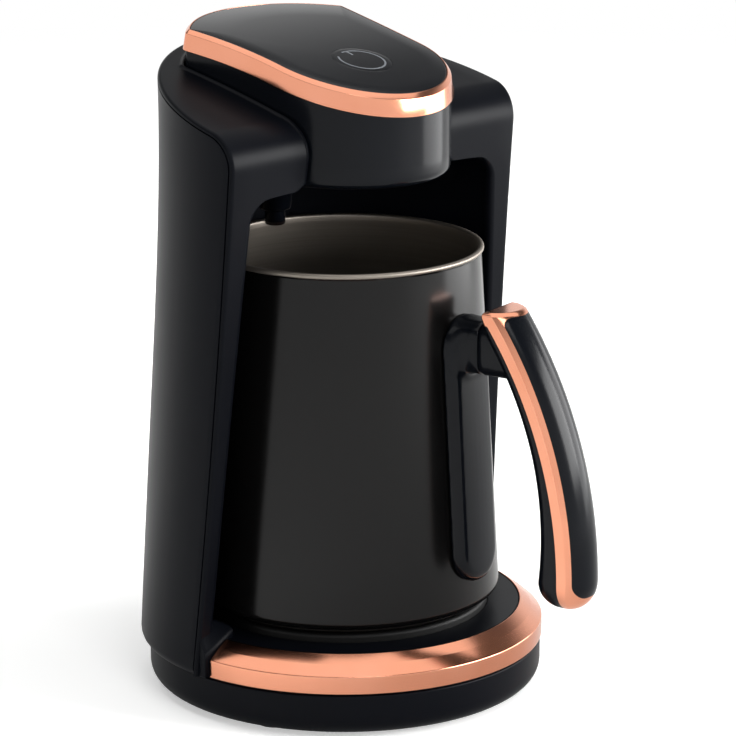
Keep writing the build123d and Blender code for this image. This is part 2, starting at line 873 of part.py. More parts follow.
def make_wiring_harness():
    back = bay_back(bay_foot_z) + liner_wall
    top_back = bay_back(harness_top_z) + liner_wall
    stand_off = harness_r + harness_gap
    start_y = power_board_length / 2
    plug_z = lid_height + tan(radians(lid_tilt)) * plug_y - board_depth - board_wall - plug_height
    points = [
        (harness_x, start_y, harness_low_z),
        (harness_x, back + stand_off, harness_low_z),
        (harness_x, back + stand_off, bay_foot_z),
        (harness_x, top_back + stand_off, harness_top_z),
        (harness_x, plug_y, harness_top_z),
        (harness_x, plug_y, plug_z - harness_r),
    ]
    path = FilletPolyline(*points, radius=harness_bend)
    start = Plane(origin=path @ 0, z_dir=path % 0)
    return sweep(start * Circle(harness_r), path=path)


# The pot


def make_pot_body():
    outer = make_face(
        Polyline(
            (0, pot_bottom_z),
            (pot_radius(pot_bottom_z), pot_bottom_z),
            (pot_rim_r, pot_rim_z),
            (0, pot_rim_z),
            close=True,
        )
    )
    foot = outer.vertices().sort_by_distance((pot_radius(pot_bottom_z), pot_bottom_z, 0))[0]
    outer = fillet(foot, pot_corner)
    floor = pot_bottom_z + pot_wall
    inner = make_face(
        Polyline(
            (0, floor),
            (pot_radius(floor) - pot_wall, floor),
            (pot_rim_r - pot_wall, pot_rim_z),
            (0, pot_rim_z),
            close=True,
        )
    )
    toe = inner.vertices().sort_by_distance((pot_radius(floor) - pot_wall, floor, 0))[0]
    inner = fillet(toe, pot_corner - pot_wall)
    solid = revolve(Plane.XZ * (outer - inner), axis=Axis.Z)
    bead_r = pot_rim_r - pot_wall + pot_bead_r
    bead = Plane.XZ * Pos(bead_r, pot_rim_z - pot_bead_r) * Circle(pot_bead_r)
    return solid + revolve(bead, axis=Axis.Z)


def make_pot_base():
    low = hot_plate_top + pot_rest_gap
    solid = Pos(0, 0, low) * upward(pot_base_r, pot_bottom_z - low)
    rim = solid.edges().group_by(Axis.Z)[0]
    return chamfer(rim, (pot_bottom_z - low) / 3)


# The handle, along +X


def turn_handle(solid):
    """Swing a piece built along +X round to where the handle points."""
    return Rot(0, 0, handle_azimuth - 90) * solid


def wall_core(grow, low, high):
    """Everything inside a surface that follows the pot's wall at a distance."""
    outline = make_face(
        Polyline(
            (0, low),
            (pot_radius(low) + grow, low),
            (pot_radius(high) + grow, high),
            (0, high),
            close=True,
        )
    )
    return revolve(Plane.XZ * outline, axis=Axis.Z)


def wall_skin(inner, outer, low, high):
    """A layer that follows the pot's wall, between two distances from it."""
    return wall_core(outer, low, high) - wall_core(inner, low, high)


def radial_slab(half_width, low, high, corner):
    """A rounded rectangle facing the pot, run outwards along +X."""
    middle = (low + high) / 2
    if corner:
        outline = RectangleRounded(2 * half_width, high - low, corner)
    else:
        outline = Rectangle(2 * half_width, high - low)
    return Pos(0, 0, middle) * extrude(Plane.YZ * outline, amount=far)


def make_handle_mount():
    solid = wall_skin(0, mount_wall, mount_low_z, mount_high_z)
    return turn_handle(solid & radial_slab(mount_half_width, mount_low_z, mount_high_z, mount_wall))


def make_handle_bracket():
    skin = wall_skin(slip_gap, slip_gap + bracket_wall, bracket_low_z, bracket_high_z)
    solid = skin & radial_slab(bracket_half_width, bracket_low_z, bracket_high_z, bracket_corner)
    section = radial_slab(arm_half_width, arm_low_z, arm_high_z, arm_round)
    reach = Box(2 * arm_end_r, far, 3 * far)
    solid += (section & reach) - wall_core(slip_gap + bracket_wall / 2, 0, bracket_high_z)
    pocket = wall_skin(0, mount_wall + slip_gap, mount_low_z - slip_gap, mount_high_z + slip_gap)
    slab = radial_slab(mount_half_width + slip_gap, mount_low_z - slip_gap, mount_high_z + slip_gap, 0)
    solid -= pocket & slab
    solid -= grip_screw_place() * Cylinder(grip_screw_r + screw_gap, 2 * grip_screw_length)
    return turn_handle(solid)


def grip_arc_volume(radius, reach, height, grow):
    """Everything inside one of the grip's side-view arcs."""
    disc = Plane.XZ * Pos(reach - radius, height) * Circle(radius + grow)
    return extrude(disc, amount=far, both=True)


def arc_reach(radius, reach, height, z):
    """How far out one of the grip's arcs is at a height."""
    return reach - radius + sqrt(radius**2 - (z - height) ** 2)


def grip_side():
    """The grip seen from the side, run across its width, with its outer face left to the crown."""
    width = 2 * grip_half_width
    outer = grip_tip_reach + 0.97 * grip_tip_r
    height = grip_top_z - grip_tip_z
    solid = Box(outer - grip_top_reach, width, height, align=(Align.MIN, Align.CENTER, Align.MIN))
    top_edge = solid.edges().filter_by(Axis.Y).group_by(Axis.Z)[-1].sort_by(Axis.X)[0]
    solid = Pos(grip_top_reach, 0, grip_tip_z) * chamfer(top_edge, grip_top_bevel)
    solid += Pos(grip_tip_reach, 0, grip_tip_z) * Cylinder(grip_tip_r, width, rotation=(90, 0, 0))
    solid -= grip_arc_volume(grip_inner_r, grip_inner_reach, grip_inner_z, 0)
    for corner in grip_palm_corners():
        solid -= corner
    return solid


def grip_crown_volume():
    """Everything inside the grip's outer faces: side, facet and rounded crown, swept round its arc."""
    centre = grip_split_reach - grip_split_r
    facet_y = grip_half_width - trim_wall
    side_x = grip_split_reach + trim_side
    edge_x = grip_split_reach + trim_depth
    outline = make_face(
        [
            Line((centre, -grip_half_width), (side_x, -grip_half_width)),
            Line((side_x, -grip_half_width), (edge_x, -facet_y)),
            ThreePointArc((edge_x, -facet_y), (grip_split_reach + grip_crown, 0), (edge_x, facet_y)),
            Line((edge_x, facet_y), (side_x, grip_half_width)),
            Line((side_x, grip_half_width), (centre, grip_half_width)),
            Line((centre, grip_half_width), (centre, -grip_half_width)),
        ]
    )
    axis = Axis((centre, 0, grip_split_z), (0, 1, 0))
    return revolve(Pos(0, 0, grip_split_z) * outline, axis=axis)


def grip_palm_corners():
    """What to cut off so that the edges towards the pot are rounded, swept round the inner arc."""
    centre = grip_inner_reach - grip_inner_r
    flat_y = grip_half_width - grip_core_round
    edge_x = grip_inner_reach + grip_core_round
    near_x = grip_inner_reach - grip_core_round
    bulge = grip_core_round * sin(radians(45))
    outline = make_face(
        [
            Line((near_x, flat_y), (grip_inner_reach, flat_y)),
            ThreePointArc(
                (grip_inner_reach, flat_y), (edge_x - bulge, flat_y + bulge), (edge_x, grip_half_width)
            ),
            Line((edge_x, grip_half_width), (edge_x, 2 * grip_half_width)),
            Line((edge_x, 2 * grip_half_width), (near_x, 2 * grip_half_width)),
            Line((near_x, 2 * grip_half_width), (near_x, flat_y)),
        ]
    )
    axis = Axis((centre, 0, grip_inner_z), (0, 1, 0))
    corner = revolve(Pos(0, 0, grip_inner_z) * outline, axis=axis)
    return [corner, mirror(corner, about=Plane.XZ)]


def front_slab(half_width, low, high, low_round, high_round):
    """A rectangle seen from the front with its own rounding at each end, run outwards along +X."""
    outline = Pos(0, (low + high) / 2) * Rectangle(2 * half_width, high - low)
    by_height = outline.vertices().group_by(Axis.Y)
    outline = fillet(by_height[0], low_round)
    top_corners = [v for v in outline.vertices() if abs(v.Y - high) < 0.001]
    outline = fillet(top_corners, high_round)
    return extrude(Plane.YZ * outline, amount=2 * far)


def grip_volume():
    """The whole grip: core, trim and insert together."""
    low = grip_tip_z - grip_tip_r - grip_tip_drop
    front = front_slab(grip_half_width, low, grip_top_z, grip_tip_round, grip_top_bevel)
    return grip_side() & grip_crown_volume() & front


def grip_core_side(grow):
    """The side of the split that belongs to the core."""
    disc = grip_arc_volume(grip_split_r, grip_split_reach, grip_split_z, grow)
    post = Box(far, far, 4 * far, align=(Align.MAX, Align.CENTER, Align.CENTER))
    return disc + Pos(grip_split_top + grow, 0, 0) * post


def grip_screw_place():
    """The grip screw's axis, along +X at the arm."""
    return Pos(arm_end_r, 0, grip_screw_z) * Rot(0, 90, 0)


def screw_head_reach():
    """How far out the grip screw's head starts."""
    top = grip_screw_z + grip_screw_head_r
    split = arc_reach(grip_split_r, grip_split_reach, grip_split_z, top)
    return split - grip_screw_head - slip_gap


def make_grip_core():
    solid = grip_volume() & grip_core_side(0)
    stub = radial_slab(arm_half_width, arm_low_z, arm_high_z, arm_round) & grip_core_side(-trim_web)
    stub -= Box(2 * (arm_end_r + slip_gap), far, 4 * far)
    solid += stub
    solid -= grip_screw_place() * Cylinder(grip_screw_r + screw_gap, 4 * grip_screw_length)
    well = Pos(screw_head_reach(), 0, grip_screw_z) * Rot(0, 90, 0) * upward(
        grip_screw_head_r + screw_gap, far
    )
    return turn_handle(solid - well)


def insert_volume(gap):
    """The black insert, which fills the trim's channel up to the crown."""
    low = grip_tip_z - grip_tip_r + trim_tip_lip - gap
    high = grip_top_z - trim_top_lip + gap
    front = front_slab(grip_half_width - trim_wall + gap, low, high, insert_tip_round, insert_top_round)
    body = (grip_volume() & front) - grip_core_side(trim_web - gap)
    top_side = Box(far, far, 4 * far, align=(Align.MAX, Align.CENTER, Align.CENTER))
    return body - Pos(grip_split_top + trim_wall - gap, 0, 0) * top_side


def make_grip_trim():
    solid = grip_volume() - grip_core_side(0)
    return turn_handle(solid - insert_volume(screw_gap))


def make_grip_insert():
    return turn_handle(insert_volume(0))


def make_grip_screws():
    head_reach = screw_head_reach()
    along = Rot(0, 90, 0)
    head = Pos(head_reach, 0, grip_screw_z) * along * upward(grip_screw_head_r, grip_screw_head)
    shank = Pos(head_reach - grip_screw_length, 0, grip_screw_z) * along * upward(
        grip_screw_r, grip_screw_length
    )
    return turn_handle(head + shank)


makers = {
    "outer_shell": make_outer_shell,
    "front_frame": make_front_frame,
    "bay_liner": make_bay_liner,
    "head_shell": make_head_shell,
    "lid_band": make_lid_band,
    "lid_plate": make_lid_plate,
    "start_button": make_start_button,
    "button_spring": make_button_spring,
    "control_board": make_control_board,
    "board_screws": make_board_screws,
    "tact_switch": make_tact_switch,
    "switch_plunger": make_switch_plunger,
    "buzzer": make_buzzer,
    "sensor_housing": make_sensor_housing,
    "sensor_lens": make_sensor_lens,
    "sensor_board": make_sensor_board,
    "base_shell": make_base_shell,
    "bottom_cover": make_bottom_cover,
    "feet": make_feet,
    "cover_screws": make_cover_screws,
    "base_ring": make_base_ring,
    "deck_plate": make_deck_plate,
    "plate_seal": make_plate_seal,
    "hot_plate": make_hot_plate,
    "plate_nuts": make_plate_nuts,
    "heat_shield": make_heat_shield,
    "heater_element": make_heater_element,
    "thermal_cutout": make_thermal_cutout,
    "plate_probe": make_plate_probe,
    "power_board": make_power_board,
    "relay": make_relay,
    "terminal_block": make_terminal_block,
    "cord_gland": make_cord_gland,
    "wiring_harness": make_wiring_harness,
    "pot_body": make_pot_body,
    "pot_base": make_pot_base,
    "handle_mount": make_handle_mount,
    "handle_bracket": make_handle_bracket,
    "grip_core": make_grip_core,
    "grip_trim": make_grip_trim,
    "grip_insert": make_grip_insert,
    "grip_screws": make_grip_screws,
}

os.makedirs("parts", exist_ok=True)
for name, maker in makers.items():
    nodes[name] = maker()
    export_step(nodes[name], f"parts/{name}.step")
    print(f"{name:16s} {nodes[name].volume:12.1f} mm3")
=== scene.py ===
import json
from math import asin, atan2, cos, pi, radians, sin, sqrt, tan

import bmesh
import bpy
from mathutils import Matrix, Vector


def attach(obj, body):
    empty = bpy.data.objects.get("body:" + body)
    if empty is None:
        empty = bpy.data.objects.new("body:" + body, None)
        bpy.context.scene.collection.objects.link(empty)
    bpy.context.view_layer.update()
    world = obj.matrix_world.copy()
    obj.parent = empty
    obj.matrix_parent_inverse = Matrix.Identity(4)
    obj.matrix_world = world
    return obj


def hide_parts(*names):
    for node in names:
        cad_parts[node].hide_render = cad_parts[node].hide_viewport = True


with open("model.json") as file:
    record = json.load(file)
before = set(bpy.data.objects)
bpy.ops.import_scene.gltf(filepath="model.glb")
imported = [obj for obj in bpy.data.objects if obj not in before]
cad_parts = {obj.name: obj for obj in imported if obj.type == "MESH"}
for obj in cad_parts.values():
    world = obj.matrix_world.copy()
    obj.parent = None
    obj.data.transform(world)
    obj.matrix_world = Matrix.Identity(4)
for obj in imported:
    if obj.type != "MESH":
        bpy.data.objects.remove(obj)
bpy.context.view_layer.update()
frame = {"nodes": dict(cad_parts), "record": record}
mm = 0.001
mergeReach = 2e-6  # metres


# small helpers

def clearSelection():
    for thing in bpy.context.selected_objects:
        thing.select_set(False)


def activate(piece, *others):
    clearSelection()
    for thing in (*others, piece):
        thing.select_set(True)
    bpy.context.view_layer.objects.active = piece


def openMesh(piece):
    # the one piece selected, in edit mode
    activate(piece)
    bpy.ops.object.mode_set(mode="EDIT")
    bpy.ops.mesh.select_all(action="DESELECT")
    return bmesh.from_edit_mesh(piece.data)


def closeMesh():
    bpy.ops.object.mode_set(mode="OBJECT")


def mergePoints(reach=mergeReach):
    bpy.ops.mesh.select_all(action="SELECT")
    bpy.ops.mesh.remove_doubles(threshold=reach)


def fillHoles():
    bpy.ops.mesh.select_all(action="SELECT")
    bpy.ops.mesh.fill_holes(sides=0)


def turnOutwards():
    bpy.ops.mesh.select_all(action="SELECT")
    bpy.ops.mesh.normals_make_consistent(inside=False)


def roundEdges(piece, width, segments, wanted, **settings):
    # the wanted edges bevelled, the width in millimetres
    cage = openMesh(piece)
    bpy.ops.mesh.select_mode(type="EDGE")
    for edge in cage.edges:
        if wanted(edge):
            edge.select_set(True)
    bmesh.update_edit_mesh(piece.data)
    bpy.ops.mesh.bevel(offset=width * mm, segments=segments, affect="EDGES", **settings)
    closeMesh()


def setPoints(piece, points):
    # the primitive's vertices moved to points given in millimetres
    for vertex, point in zip(piece.data.vertices, points, strict=True):
        vertex.co = Vector(point) * mm


def spread(first, last, count):
    # count + 1 values at even steps
    return [first + (last - first) * k / count for k in range(count + 1)]


def quarterArc(step, first=0):
    # a rounding's offsets, from its first tangent (0, 1) to its last (1, 0), as shares of the radius
    return [(1 - cos(radians(a)), 1 - sin(radians(a))) for a in range(first, 91, step)]


def roundedLine(corners, steps=5):
    # a section's corners (r, z, rounding) as points, each rounding an arc
    points = []
    count = len(corners)
    for i, (x, y, rounding) in enumerate(corners):
        here = Vector((x, y))
        if not rounding:
            points.append((x, y))
            continue
        before = (Vector(corners[i - 1][:2]) - here).normalized()
        after = (Vector(corners[(i + 1) % count][:2]) - here).normalized()
        half = before.angle(after) / 2
        reach = rounding / tan(half)
        centre = here + (before + after).normalized() * rounding / sin(half)
        first, last = here + before * reach - centre, here + after * reach - centre
        sweep = first.angle_signed(last)
        for k in range(steps + 1):
            turned = first.copy()
            turned.rotate(Matrix.Rotation(-sweep * k / steps, 2))
            points.append(tuple(centre + turned))
    return points


def namePrimitive(name):
    piece = bpy.context.object
    piece.name = piece.data.name = name
    return piece


def spunPiece(name, section, steps=144, start=0.0, turn=360.0, closed=True, centre=(0, 0)):
    # a section bent from a circle and spun about an upright axis
    clearSelection()
    bpy.ops.mesh.primitive_circle_add(vertices=len(section), radius=0.01)
    piece = namePrimitive(name)
    a = radians(start)
    setPoints(piece, [(centre[0] + r * cos(a), centre[1] + r * sin(a), z) for r, z in section])
    cage = openMesh(piece)
    if not closed:  # the edge that lies on the axis goes
        for edge in cage.edges:
            if {v.index for v in edge.verts} == {0, len(section) - 1}:
                edge.select_set(True)
        bpy.ops.mesh.delete(type="EDGE_FACE")
    bpy.ops.mesh.select_all(action="SELECT")
    bpy.ops.mesh.spin(steps=steps, angle=radians(turn), axis=(0, 0, 1),
                      center=(centre[0] * mm, centre[1] * mm, 0))
    mergePoints()
    turnOutwards()
    closeMesh()
    return piece


def bentGrid(name, rows, wrap=True, caps=True):
    # a grid whose rows are laid along rings of points, its seam merged and its ends filled
    clearSelection()
    rings = [[*row, row[0]] for row in rows] if wrap else rows
    bpy.ops.mesh.primitive_grid_add(x_subdivisions=len(rings[0]) - 1, y_subdivisions=len(rings) - 1,
                                    size=0.01)
    piece = namePrimitive(name)
    setPoints(piece, [point for ring in rings for point in ring])
    openMesh(piece)
    mergePoints()
    if caps:
        fillHoles()
    turnOutwards()
    closeMesh()
    return piece


def closedBand(name, rows):
    # rows that run round a section, each one a ring: the band closes both ways
    columns = [list(column) for column in zip(*rows)]
    return bentGrid(name, [*columns, columns[0]], caps=False)


def applyModifier(piece, kind, **settings):
    activate(piece)
    modifier = piece.modifiers.new(kind.title(), kind)
    for key, value in settings.items():
        setattr(modifier, key, value)
    bpy.ops.object.modifier_apply(modifier=modifier.name)


def joinPieces(first, *others):
    activate(first, *others)
    bpy.ops.object.join()
    return first


def placeMesh(piece, matrix):
    piece.data.transform(matrix)
    piece.data.update()


def finishPiece(piece, body, slotName, nodeNames, angle=32, finishNames=None):
    # finishNames: the materials in the order of the faces' indices, when the slot's own isn't enough
    activate(piece)
    bpy.ops.object.shade_smooth_by_angle(angle=radians(angle))
    for finish in finishNames or [slotName]:
        piece.data.materials.append(finishes[finish])
    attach(piece, body)
    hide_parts(*nodeNames)
    print("made", piece.name, len(piece.data.polygons), "faces")


# camera and studio

studio = {
    "turn": 44.0,  # degrees, from the front towards the left
    "pitch": 14.93,
    "distance": 1118.0,  # millimetres
    "aimHeight": 98.6, "aimSide": 7.1,
    "lens": 179.2, "sensor": 36.0, "farClip": 20.0,
    # metres and watts: place, target, power, width, height
    "lamps": {
        "topSoftbox": ((0.12, 0.05, 1.3), (0.12, 0.05, 0), 14.0, 2.0, 2.0),
        "rightSoftbox": ((0.6, -0.29, 0.16), (0, 0, 0.12), 1.7, 0.45, 0.3),
        "frontSoftbox": ((-0.55, -1.05, 0.95), (0, 0, 0.12), 2.0, 0.5, 0.3),
        "sideSoftbox": ((0.52, -0.77, 0.33), (0, 0, 0.17), 9.0, 0.62, 0.4),
    },
    "horizonGlow": 1.0, "ceilingGlow": 0.12,  # the room's brightness below and above
    "wallTop": 0.25, "ceilingStart": 0.55,  # the upward share of the directions it fades between
    "floorSize": 8.0,
    "floorFill": 0.38,  # the near paper's own glow to the eye
    "litRadius": 0.6, "whiteRadius": 1.2,  # the floor's lit part and where its plain white starts, metres
}


def hexToLinear(text):
    values = [int(text[i:i + 2], 16) / 255 for i in (0, 2, 4)]
    return [v / 12.92 if v <= 0.04045 else ((v + 0.055) / 1.055) ** 2.4 for v in values] + [1.0]


def addNode(tree, kind, settings=None, links=None):
    # links come from sockets, or from the first output of a node
    node = tree.nodes.new(kind)
    for key, value in (settings or {}).items():
        if isinstance(key, int) or key in node.inputs:
            node.inputs[key].default_value = value
        else:
            setattr(node, key, value)
    for key, source in (links or {}).items():
        tree.links.new(getattr(source, "outputs", [source])[0], node.inputs[key])
    return node


turn, pitch = radians(studio["turn"]), radians(studio["pitch"])
towardsEye = Vector((-sin(turn) * cos(pitch), -cos(turn) * cos(pitch), sin(pitch)))
aim = Vector((cos(turn) * studio["aimSide"], -sin(turn) * studio["aimSide"], studio["aimHeight"]))
lensData = bpy.data.cameras.new("camera")
lensData.lens = studio["lens"]
lensData.sensor_width = studio["sensor"]
lensData.clip_end = studio["farClip"]
camera = bpy.data.objects.new("camera", lensData)
bpy.context.scene.collection.objects.link(camera)
camera.location = (aim + towardsEye * studio["distance"]) * mm
camera.rotation_euler = (-towardsEye).to_track_quat("-Z", "Y").to_euler()
bpy.context.scene.camera = camera
bpy.context.scene.view_settings.view_transform = "Standard"
for lampName, (place, target, watts, width, height) in studio["lamps"].items():
    lampData = bpy.data.lights.new(lampName, "AREA")
    lampData.energy = watts
    lampData.shape = "RECTANGLE"
    lampData.size = width
    lampData.size_y = height
    lamp = bpy.data.objects.new(lampName, lampData)
    bpy.context.scene.collection.objects.link(lamp)
    lamp.location = place
    lamp.rotation_euler = (Vector(target) - Vector(place)).to_track_quat("-Z", "Y").to_euler()

plainWhite = hexToLinear("FFFFFF")
world = bpy.data.worlds.new("studioRoom")
bpy.context.scene.world = world
world.use_nodes = True
tree = world.node_tree
tree.nodes.clear()
spot = addNode(tree, "ShaderNodeTexCoord").outputs["Generated"]
upwards = addNode(tree, "ShaderNodeSeparateXYZ", links={0: spot}).outputs["Z"]
# white paper walls up to a low horizon, a dimmer ceiling above them
lift = addNode(tree, "ShaderNodeMapRange",
               {"interpolation_type": "SMOOTHSTEP",
                "From Min": studio["wallTop"], "From Max": studio["ceilingStart"],
                "To Min": studio["horizonGlow"], "To Max": studio["ceilingGlow"]}, {"Value": upwards})
room = addNode(tree, "ShaderNodeBackground", {"Color": plainWhite}, {"Strength": lift})
addNode(tree, "ShaderNodeOutputWorld", links={"Surface": room})

clearSelection()
bpy.ops.mesh.primitive_plane_add(size=studio["floorSize"], location=(0, 0, 0))
floor = bpy.context.object
floor.name = "floor"
print("camera and lamps in place")


# materials

def newMaterial(name):
    material = bpy.data.materials.new(name)
    material.use_nodes = True
    material.node_tree.nodes.clear()
    return material, material.node_tree


def grainedFinish(name, colours, roughness, grain, bump, shading, tone=None, stretch=None):
    # grain and tone are noises: the grain makes the bump, and the tone, or else the grain too, breaks up the
    # colour and the gloss
    material, tree = newMaterial(name)
    spot = addNode(tree, "ShaderNodeTexCoord").outputs["Object"]
    if stretch:
        spot = addNode(tree, "ShaderNodeMapping", {"Scale": stretch}, {"Vector": spot})
    relief = addNode(tree, "ShaderNodeTexNoise", grain, {"Vector": spot})
    cloud = addNode(tree, "ShaderNodeTexNoise", tone, {"Vector": spot}) if tone else relief
    colour, darker = (hexToLinear(text) for text in colours)
    tint = addNode(tree, "ShaderNodeMix", {"data_type": "RGBA", 6: darker, 7: colour}, {0: cloud})
    dull = addNode(tree, "ShaderNodeMapRange", {"To Min": roughness[0], "To Max": roughness[1]},
                   {"Value": cloud})
    raised = addNode(tree, "ShaderNodeBump", {"Strength": bump[0], "Distance": bump[1] * mm},
                     {"Height": relief})
    shader = addNode(tree, "ShaderNodeBsdfPrincipled", shading,
                     {"Base Color": tint.outputs[2], "Roughness": dull, "Normal": raised})
    addNode(tree, "ShaderNodeOutputMaterial", links={"Surface": shader})
    return material


def mouldedPlastic(name, colour, darker, roughness, grain, depth, shine):
    # injection-moulded ABS: a fine spark-eroded grain breaks up the reflections
    return grainedFinish(name, (colour, darker), (roughness - 0.03, roughness + 0.04),
                         {"Scale": 1 / (grain * mm), "Detail": 3.0, "Roughness": 0.6}, (depth, 0.02),
                         {"IOR": 1.5, "Specular IOR Level": shine}, {"Scale": 1 / (26 * mm), "Detail": 2.0})


def platedCopper(name):
    # copper-tinted plating over polished ABS: a near mirror, softened by a faint orange peel
    return grainedFinish(name, ("EFA587", "E79A79"), (0.14, 0.2), {"Scale": 1 / (2.5 * mm), "Detail": 1.0},
                         (0.06, 0.05), {"Metallic": 1.0}, {"Scale": 1 / (14 * mm), "Detail": 2.0})


def brushedMetal(name, colour, darker, roughness, pitchMm, depth):
    # brushed round the pot's axis: fine level lines that spread each reflection up and down
    return grainedFinish(name, (colour, darker), (roughness - 0.06, roughness + 0.1),
                         {"Scale": 1.0, "Detail": 3.0, "Roughness": 0.7}, (depth, 0.05),
                         {"Metallic": 1.0, "Anisotropic": 0.5}, stretch=(12.0, 12.0, 1 / (pitchMm * mm)))


def gritty(name, colour, darker, roughness, grain, depth, metallic=0.0, ior=1.5):
    # rubber, board, cast or tinned pieces: a broken tone and a small grain
    return grainedFinish(name, (colour, darker), (roughness - 0.05, roughness + 0.08),
                         {"Scale": 1 / (grain * mm), "Detail": 4.0}, (depth, 0.05),
                         {"Metallic": metallic} if metallic else {"IOR": ior})


# keyed by the record's material slots, and by their own names where one piece differs from its slot
finishes = {
    "body_plastic": mouldedPlastic("mouldedAbsSatin", "090B11", "07090E", 0.35, 0.35, 0.25, 0.075),
    "gloss_black": mouldedPlastic("mouldedAbsGloss", "0A0D12", "080A0F", 0.18, 0.6, 0.08, 0.18),
    "copper_plate": platedCopper("copperPlatedAbs"),
    "pot_coat": mouldedPlastic("bakedEnamelBlack", "0A0909", "070707", 0.19, 1.2, 0.06, 0.26),
    "bare_steel": brushedMetal("brushedStainlessSteel", "A39B91", "827B73", 0.42, 0.6, 0.35),
    "plate_alloy": brushedMetal("turnedAluminiumPlate", "A9ABAD", "8D8F92", 0.4, 0.8, 0.3),
    "zinc_steel": gritty("zincPlatedSteel", "B4B7BA", "969A9F", 0.38, 0.8, 0.2, 1.0),
    "dark_rubber": gritty("mouldedRubber", "1B1B1C", "121213", 0.72, 0.5, 0.5),
    "white_silicone": gritty("mouldedSilicone", "D9D8D4", "CFCDC8", 0.6, 0.8, 0.2, ior=1.41),
    "board_green": gritty("glassFibreBoard", "1F5B38", "184A2D", 0.45, 0.6, 0.2),
    "part_black": gritty("mouldedNylonBlack", "18181A", "121214", 0.5, 0.5, 0.3),
    "part_white": gritty("mouldedNylonWhite", "DEDDD8", "D2D1CB", 0.5, 0.5, 0.3),
    "smoke_lens": gritty("smokedPolycarbonate", "17100F", "0F0B0B", 0.12, 2.0, 0.05, ior=1.58),
    # painted shade: the pot base's steel is darkened to stand in for the shade in the gap under the pot
    "paintedShadePotBase": brushedMetal("steelDarkenedAsShadeUnderPot", "34312F", "262423", 0.5, 0.6, 0.3),
    # painted shade: the hot plate is made near black to stand in for the shade under the pot
    "paintedShadeHotPlate": gritty("hotPlateDarkenedAsShadeUnderPot", "0B0B0B", "080808", 0.5, 0.7, 0.3, ior=1.33),
    "markInk": gritty("padPrintedGrey", "757A80", "666B71", 0.45, 0.4, 0.15),
}
for part in frame["record"]["subparts"]:
    node = frame["nodes"][part["node"]]
    node.data.materials.clear()
    node.data.materials.append(finishes[part["material_slot"]])
# the hot plate gets the near-black finish, painted shade under the pot
frame["nodes"]["hot_plate"].data.materials[0] = finishes["paintedShadeHotPlate"]

# matt white paper: it keeps the object's shadow, and further out it is plain white to the eye and in
# reflections, but lights nothing
paperMaterial, tree = newMaterial("whiteFloorPaper")
spot = addNode(tree, "ShaderNodeTexCoord").outputs["Object"]
fibre = addNode(tree, "ShaderNodeTexNoise", {"Scale": 40.0, "Detail": 3.0}, {"Vector": spot})
tone = addNode(tree, "ShaderNodeMix",
               {"data_type": "RGBA", 6: hexToLinear("F6F6F5"), 7: hexToLinear("FAFAF9")}, {0: fibre})
lit = addNode(tree, "ShaderNodeBsdfDiffuse", {"Roughness": 1.0}, {"Color": tone.outputs[2]})
white = addNode(tree, "ShaderNodeEmission", {"Color": plainWhite, "Strength": 1.0})
reach = addNode(tree, "ShaderNodeVectorMath", {"operation": "LENGTH"}, {0: spot})
fade = addNode(tree, "ShaderNodeMapRange",
               {"interpolation_type": "SMOOTHSTEP",
                "From Min": studio["litRadius"], "From Max": studio["whiteRadius"]},
               {"Value": reach.outputs["Value"]})
rays = addNode(tree, "ShaderNodeLightPath").outputs
opaque = addNode(tree, "ShaderNodeMath", {"operation": "MAXIMUM"},
                 {0: rays["Is Camera Ray"], 1: rays["Is Glossy Ray"]})
seen = addNode(tree, "ShaderNodeMath", {"operation": "MAXIMUM"}, {0: opaque, 1: rays["Is Transmission Ray"]})
share = addNode(tree, "ShaderNodeMath", {"operation": "MULTIPLY"}, {0: fade, 1: seen})
fillGlow = addNode(tree, "ShaderNodeMath", {"operation": "MULTIPLY", 1: studio["floorFill"]},
                   {0: rays["Is Camera Ray"]})
fill = addNode(tree, "ShaderNodeEmission", {"Color": plainWhite}, {"Strength": fillGlow})
near = addNode(tree, "ShaderNodeAddShader", links={0: lit, 1: fill})
blend = addNode(tree, "ShaderNodeMixShader", links={0: share, 1: near, 2: white})
addNode(tree, "ShaderNodeOutputMaterial", links={"Surface": blend})
floor.data.materials.append(paperMaterial)
print("materials ready")


# the machine's form, in millimetres and degrees

form = {
    "faceY": -0.6, "faceLean": 4.8,  # the wing faces' plane
    "deckZ": 182.7, "deckTilt": 13.6, "roll": 11.0,
    "bayY": -4.0, "bayFootZ": 26.0, "bayFootR": 57.0, "bayTopZ": 160.5, "bayTopR": 50.1, "bayCorner": 8.5,
    "noseR": 29.6, "noseY": -3.5, "cornerX": 32.6, "cornerY": 34.6, "backY": 49.3, "cornerRound": 2.0,
    "lidZ": 196.6, "lidRise": 0.217, "lidCrown": 0.0013,  # its height, rise to the back and crown
    # the shell's radius and its axis' y, as polynomials in the height over 100 mm
    "shellR": (64.5541, -7.0743, 3.9085, -1.809, 0.5133),
    "shellY": (-0.5352, 2.2563, -4.4014, -0.2503, 0.6232),
}


def polynomial(terms, h):
    value = 0.0
    for term in reversed(terms):
        value = term + h * value
    return value


def shellRadius(z):
    return polynomial(form["shellR"], z / 100)


def shellY(z):
    return polynomial(form["shellY"], z / 100)


lean, rise = radians(form["faceLean"]), radians(form["deckTilt"])
# directions in (y, z), along the wing faces and the deck and out of them
faceUp, faceOut = Vector((-sin(lean), cos(lean))), Vector((-cos(lean), -sin(lean)))
deckBack, deckOut = Vector((cos(rise), sin(rise))), Vector((-sin(rise), cos(rise)))
cornerY = (form["faceY"] - tan(lean) * form["deckZ"]) / (1 + tan(lean) * tan(rise))
sideCorner = Vector((cornerY, form["deckZ"] + tan(rise) * cornerY))
rollAngle = faceUp.angle(deckBack)
rollReach = form["roll"] * tan(rollAngle / 2)
rollStart = sideCorner - faceUp * rollReach
rollEnd = sideCorner + deckBack * rollReach
rollLength = form["roll"] * rollAngle
rollCentre = rollStart - faceOut * form["roll"]


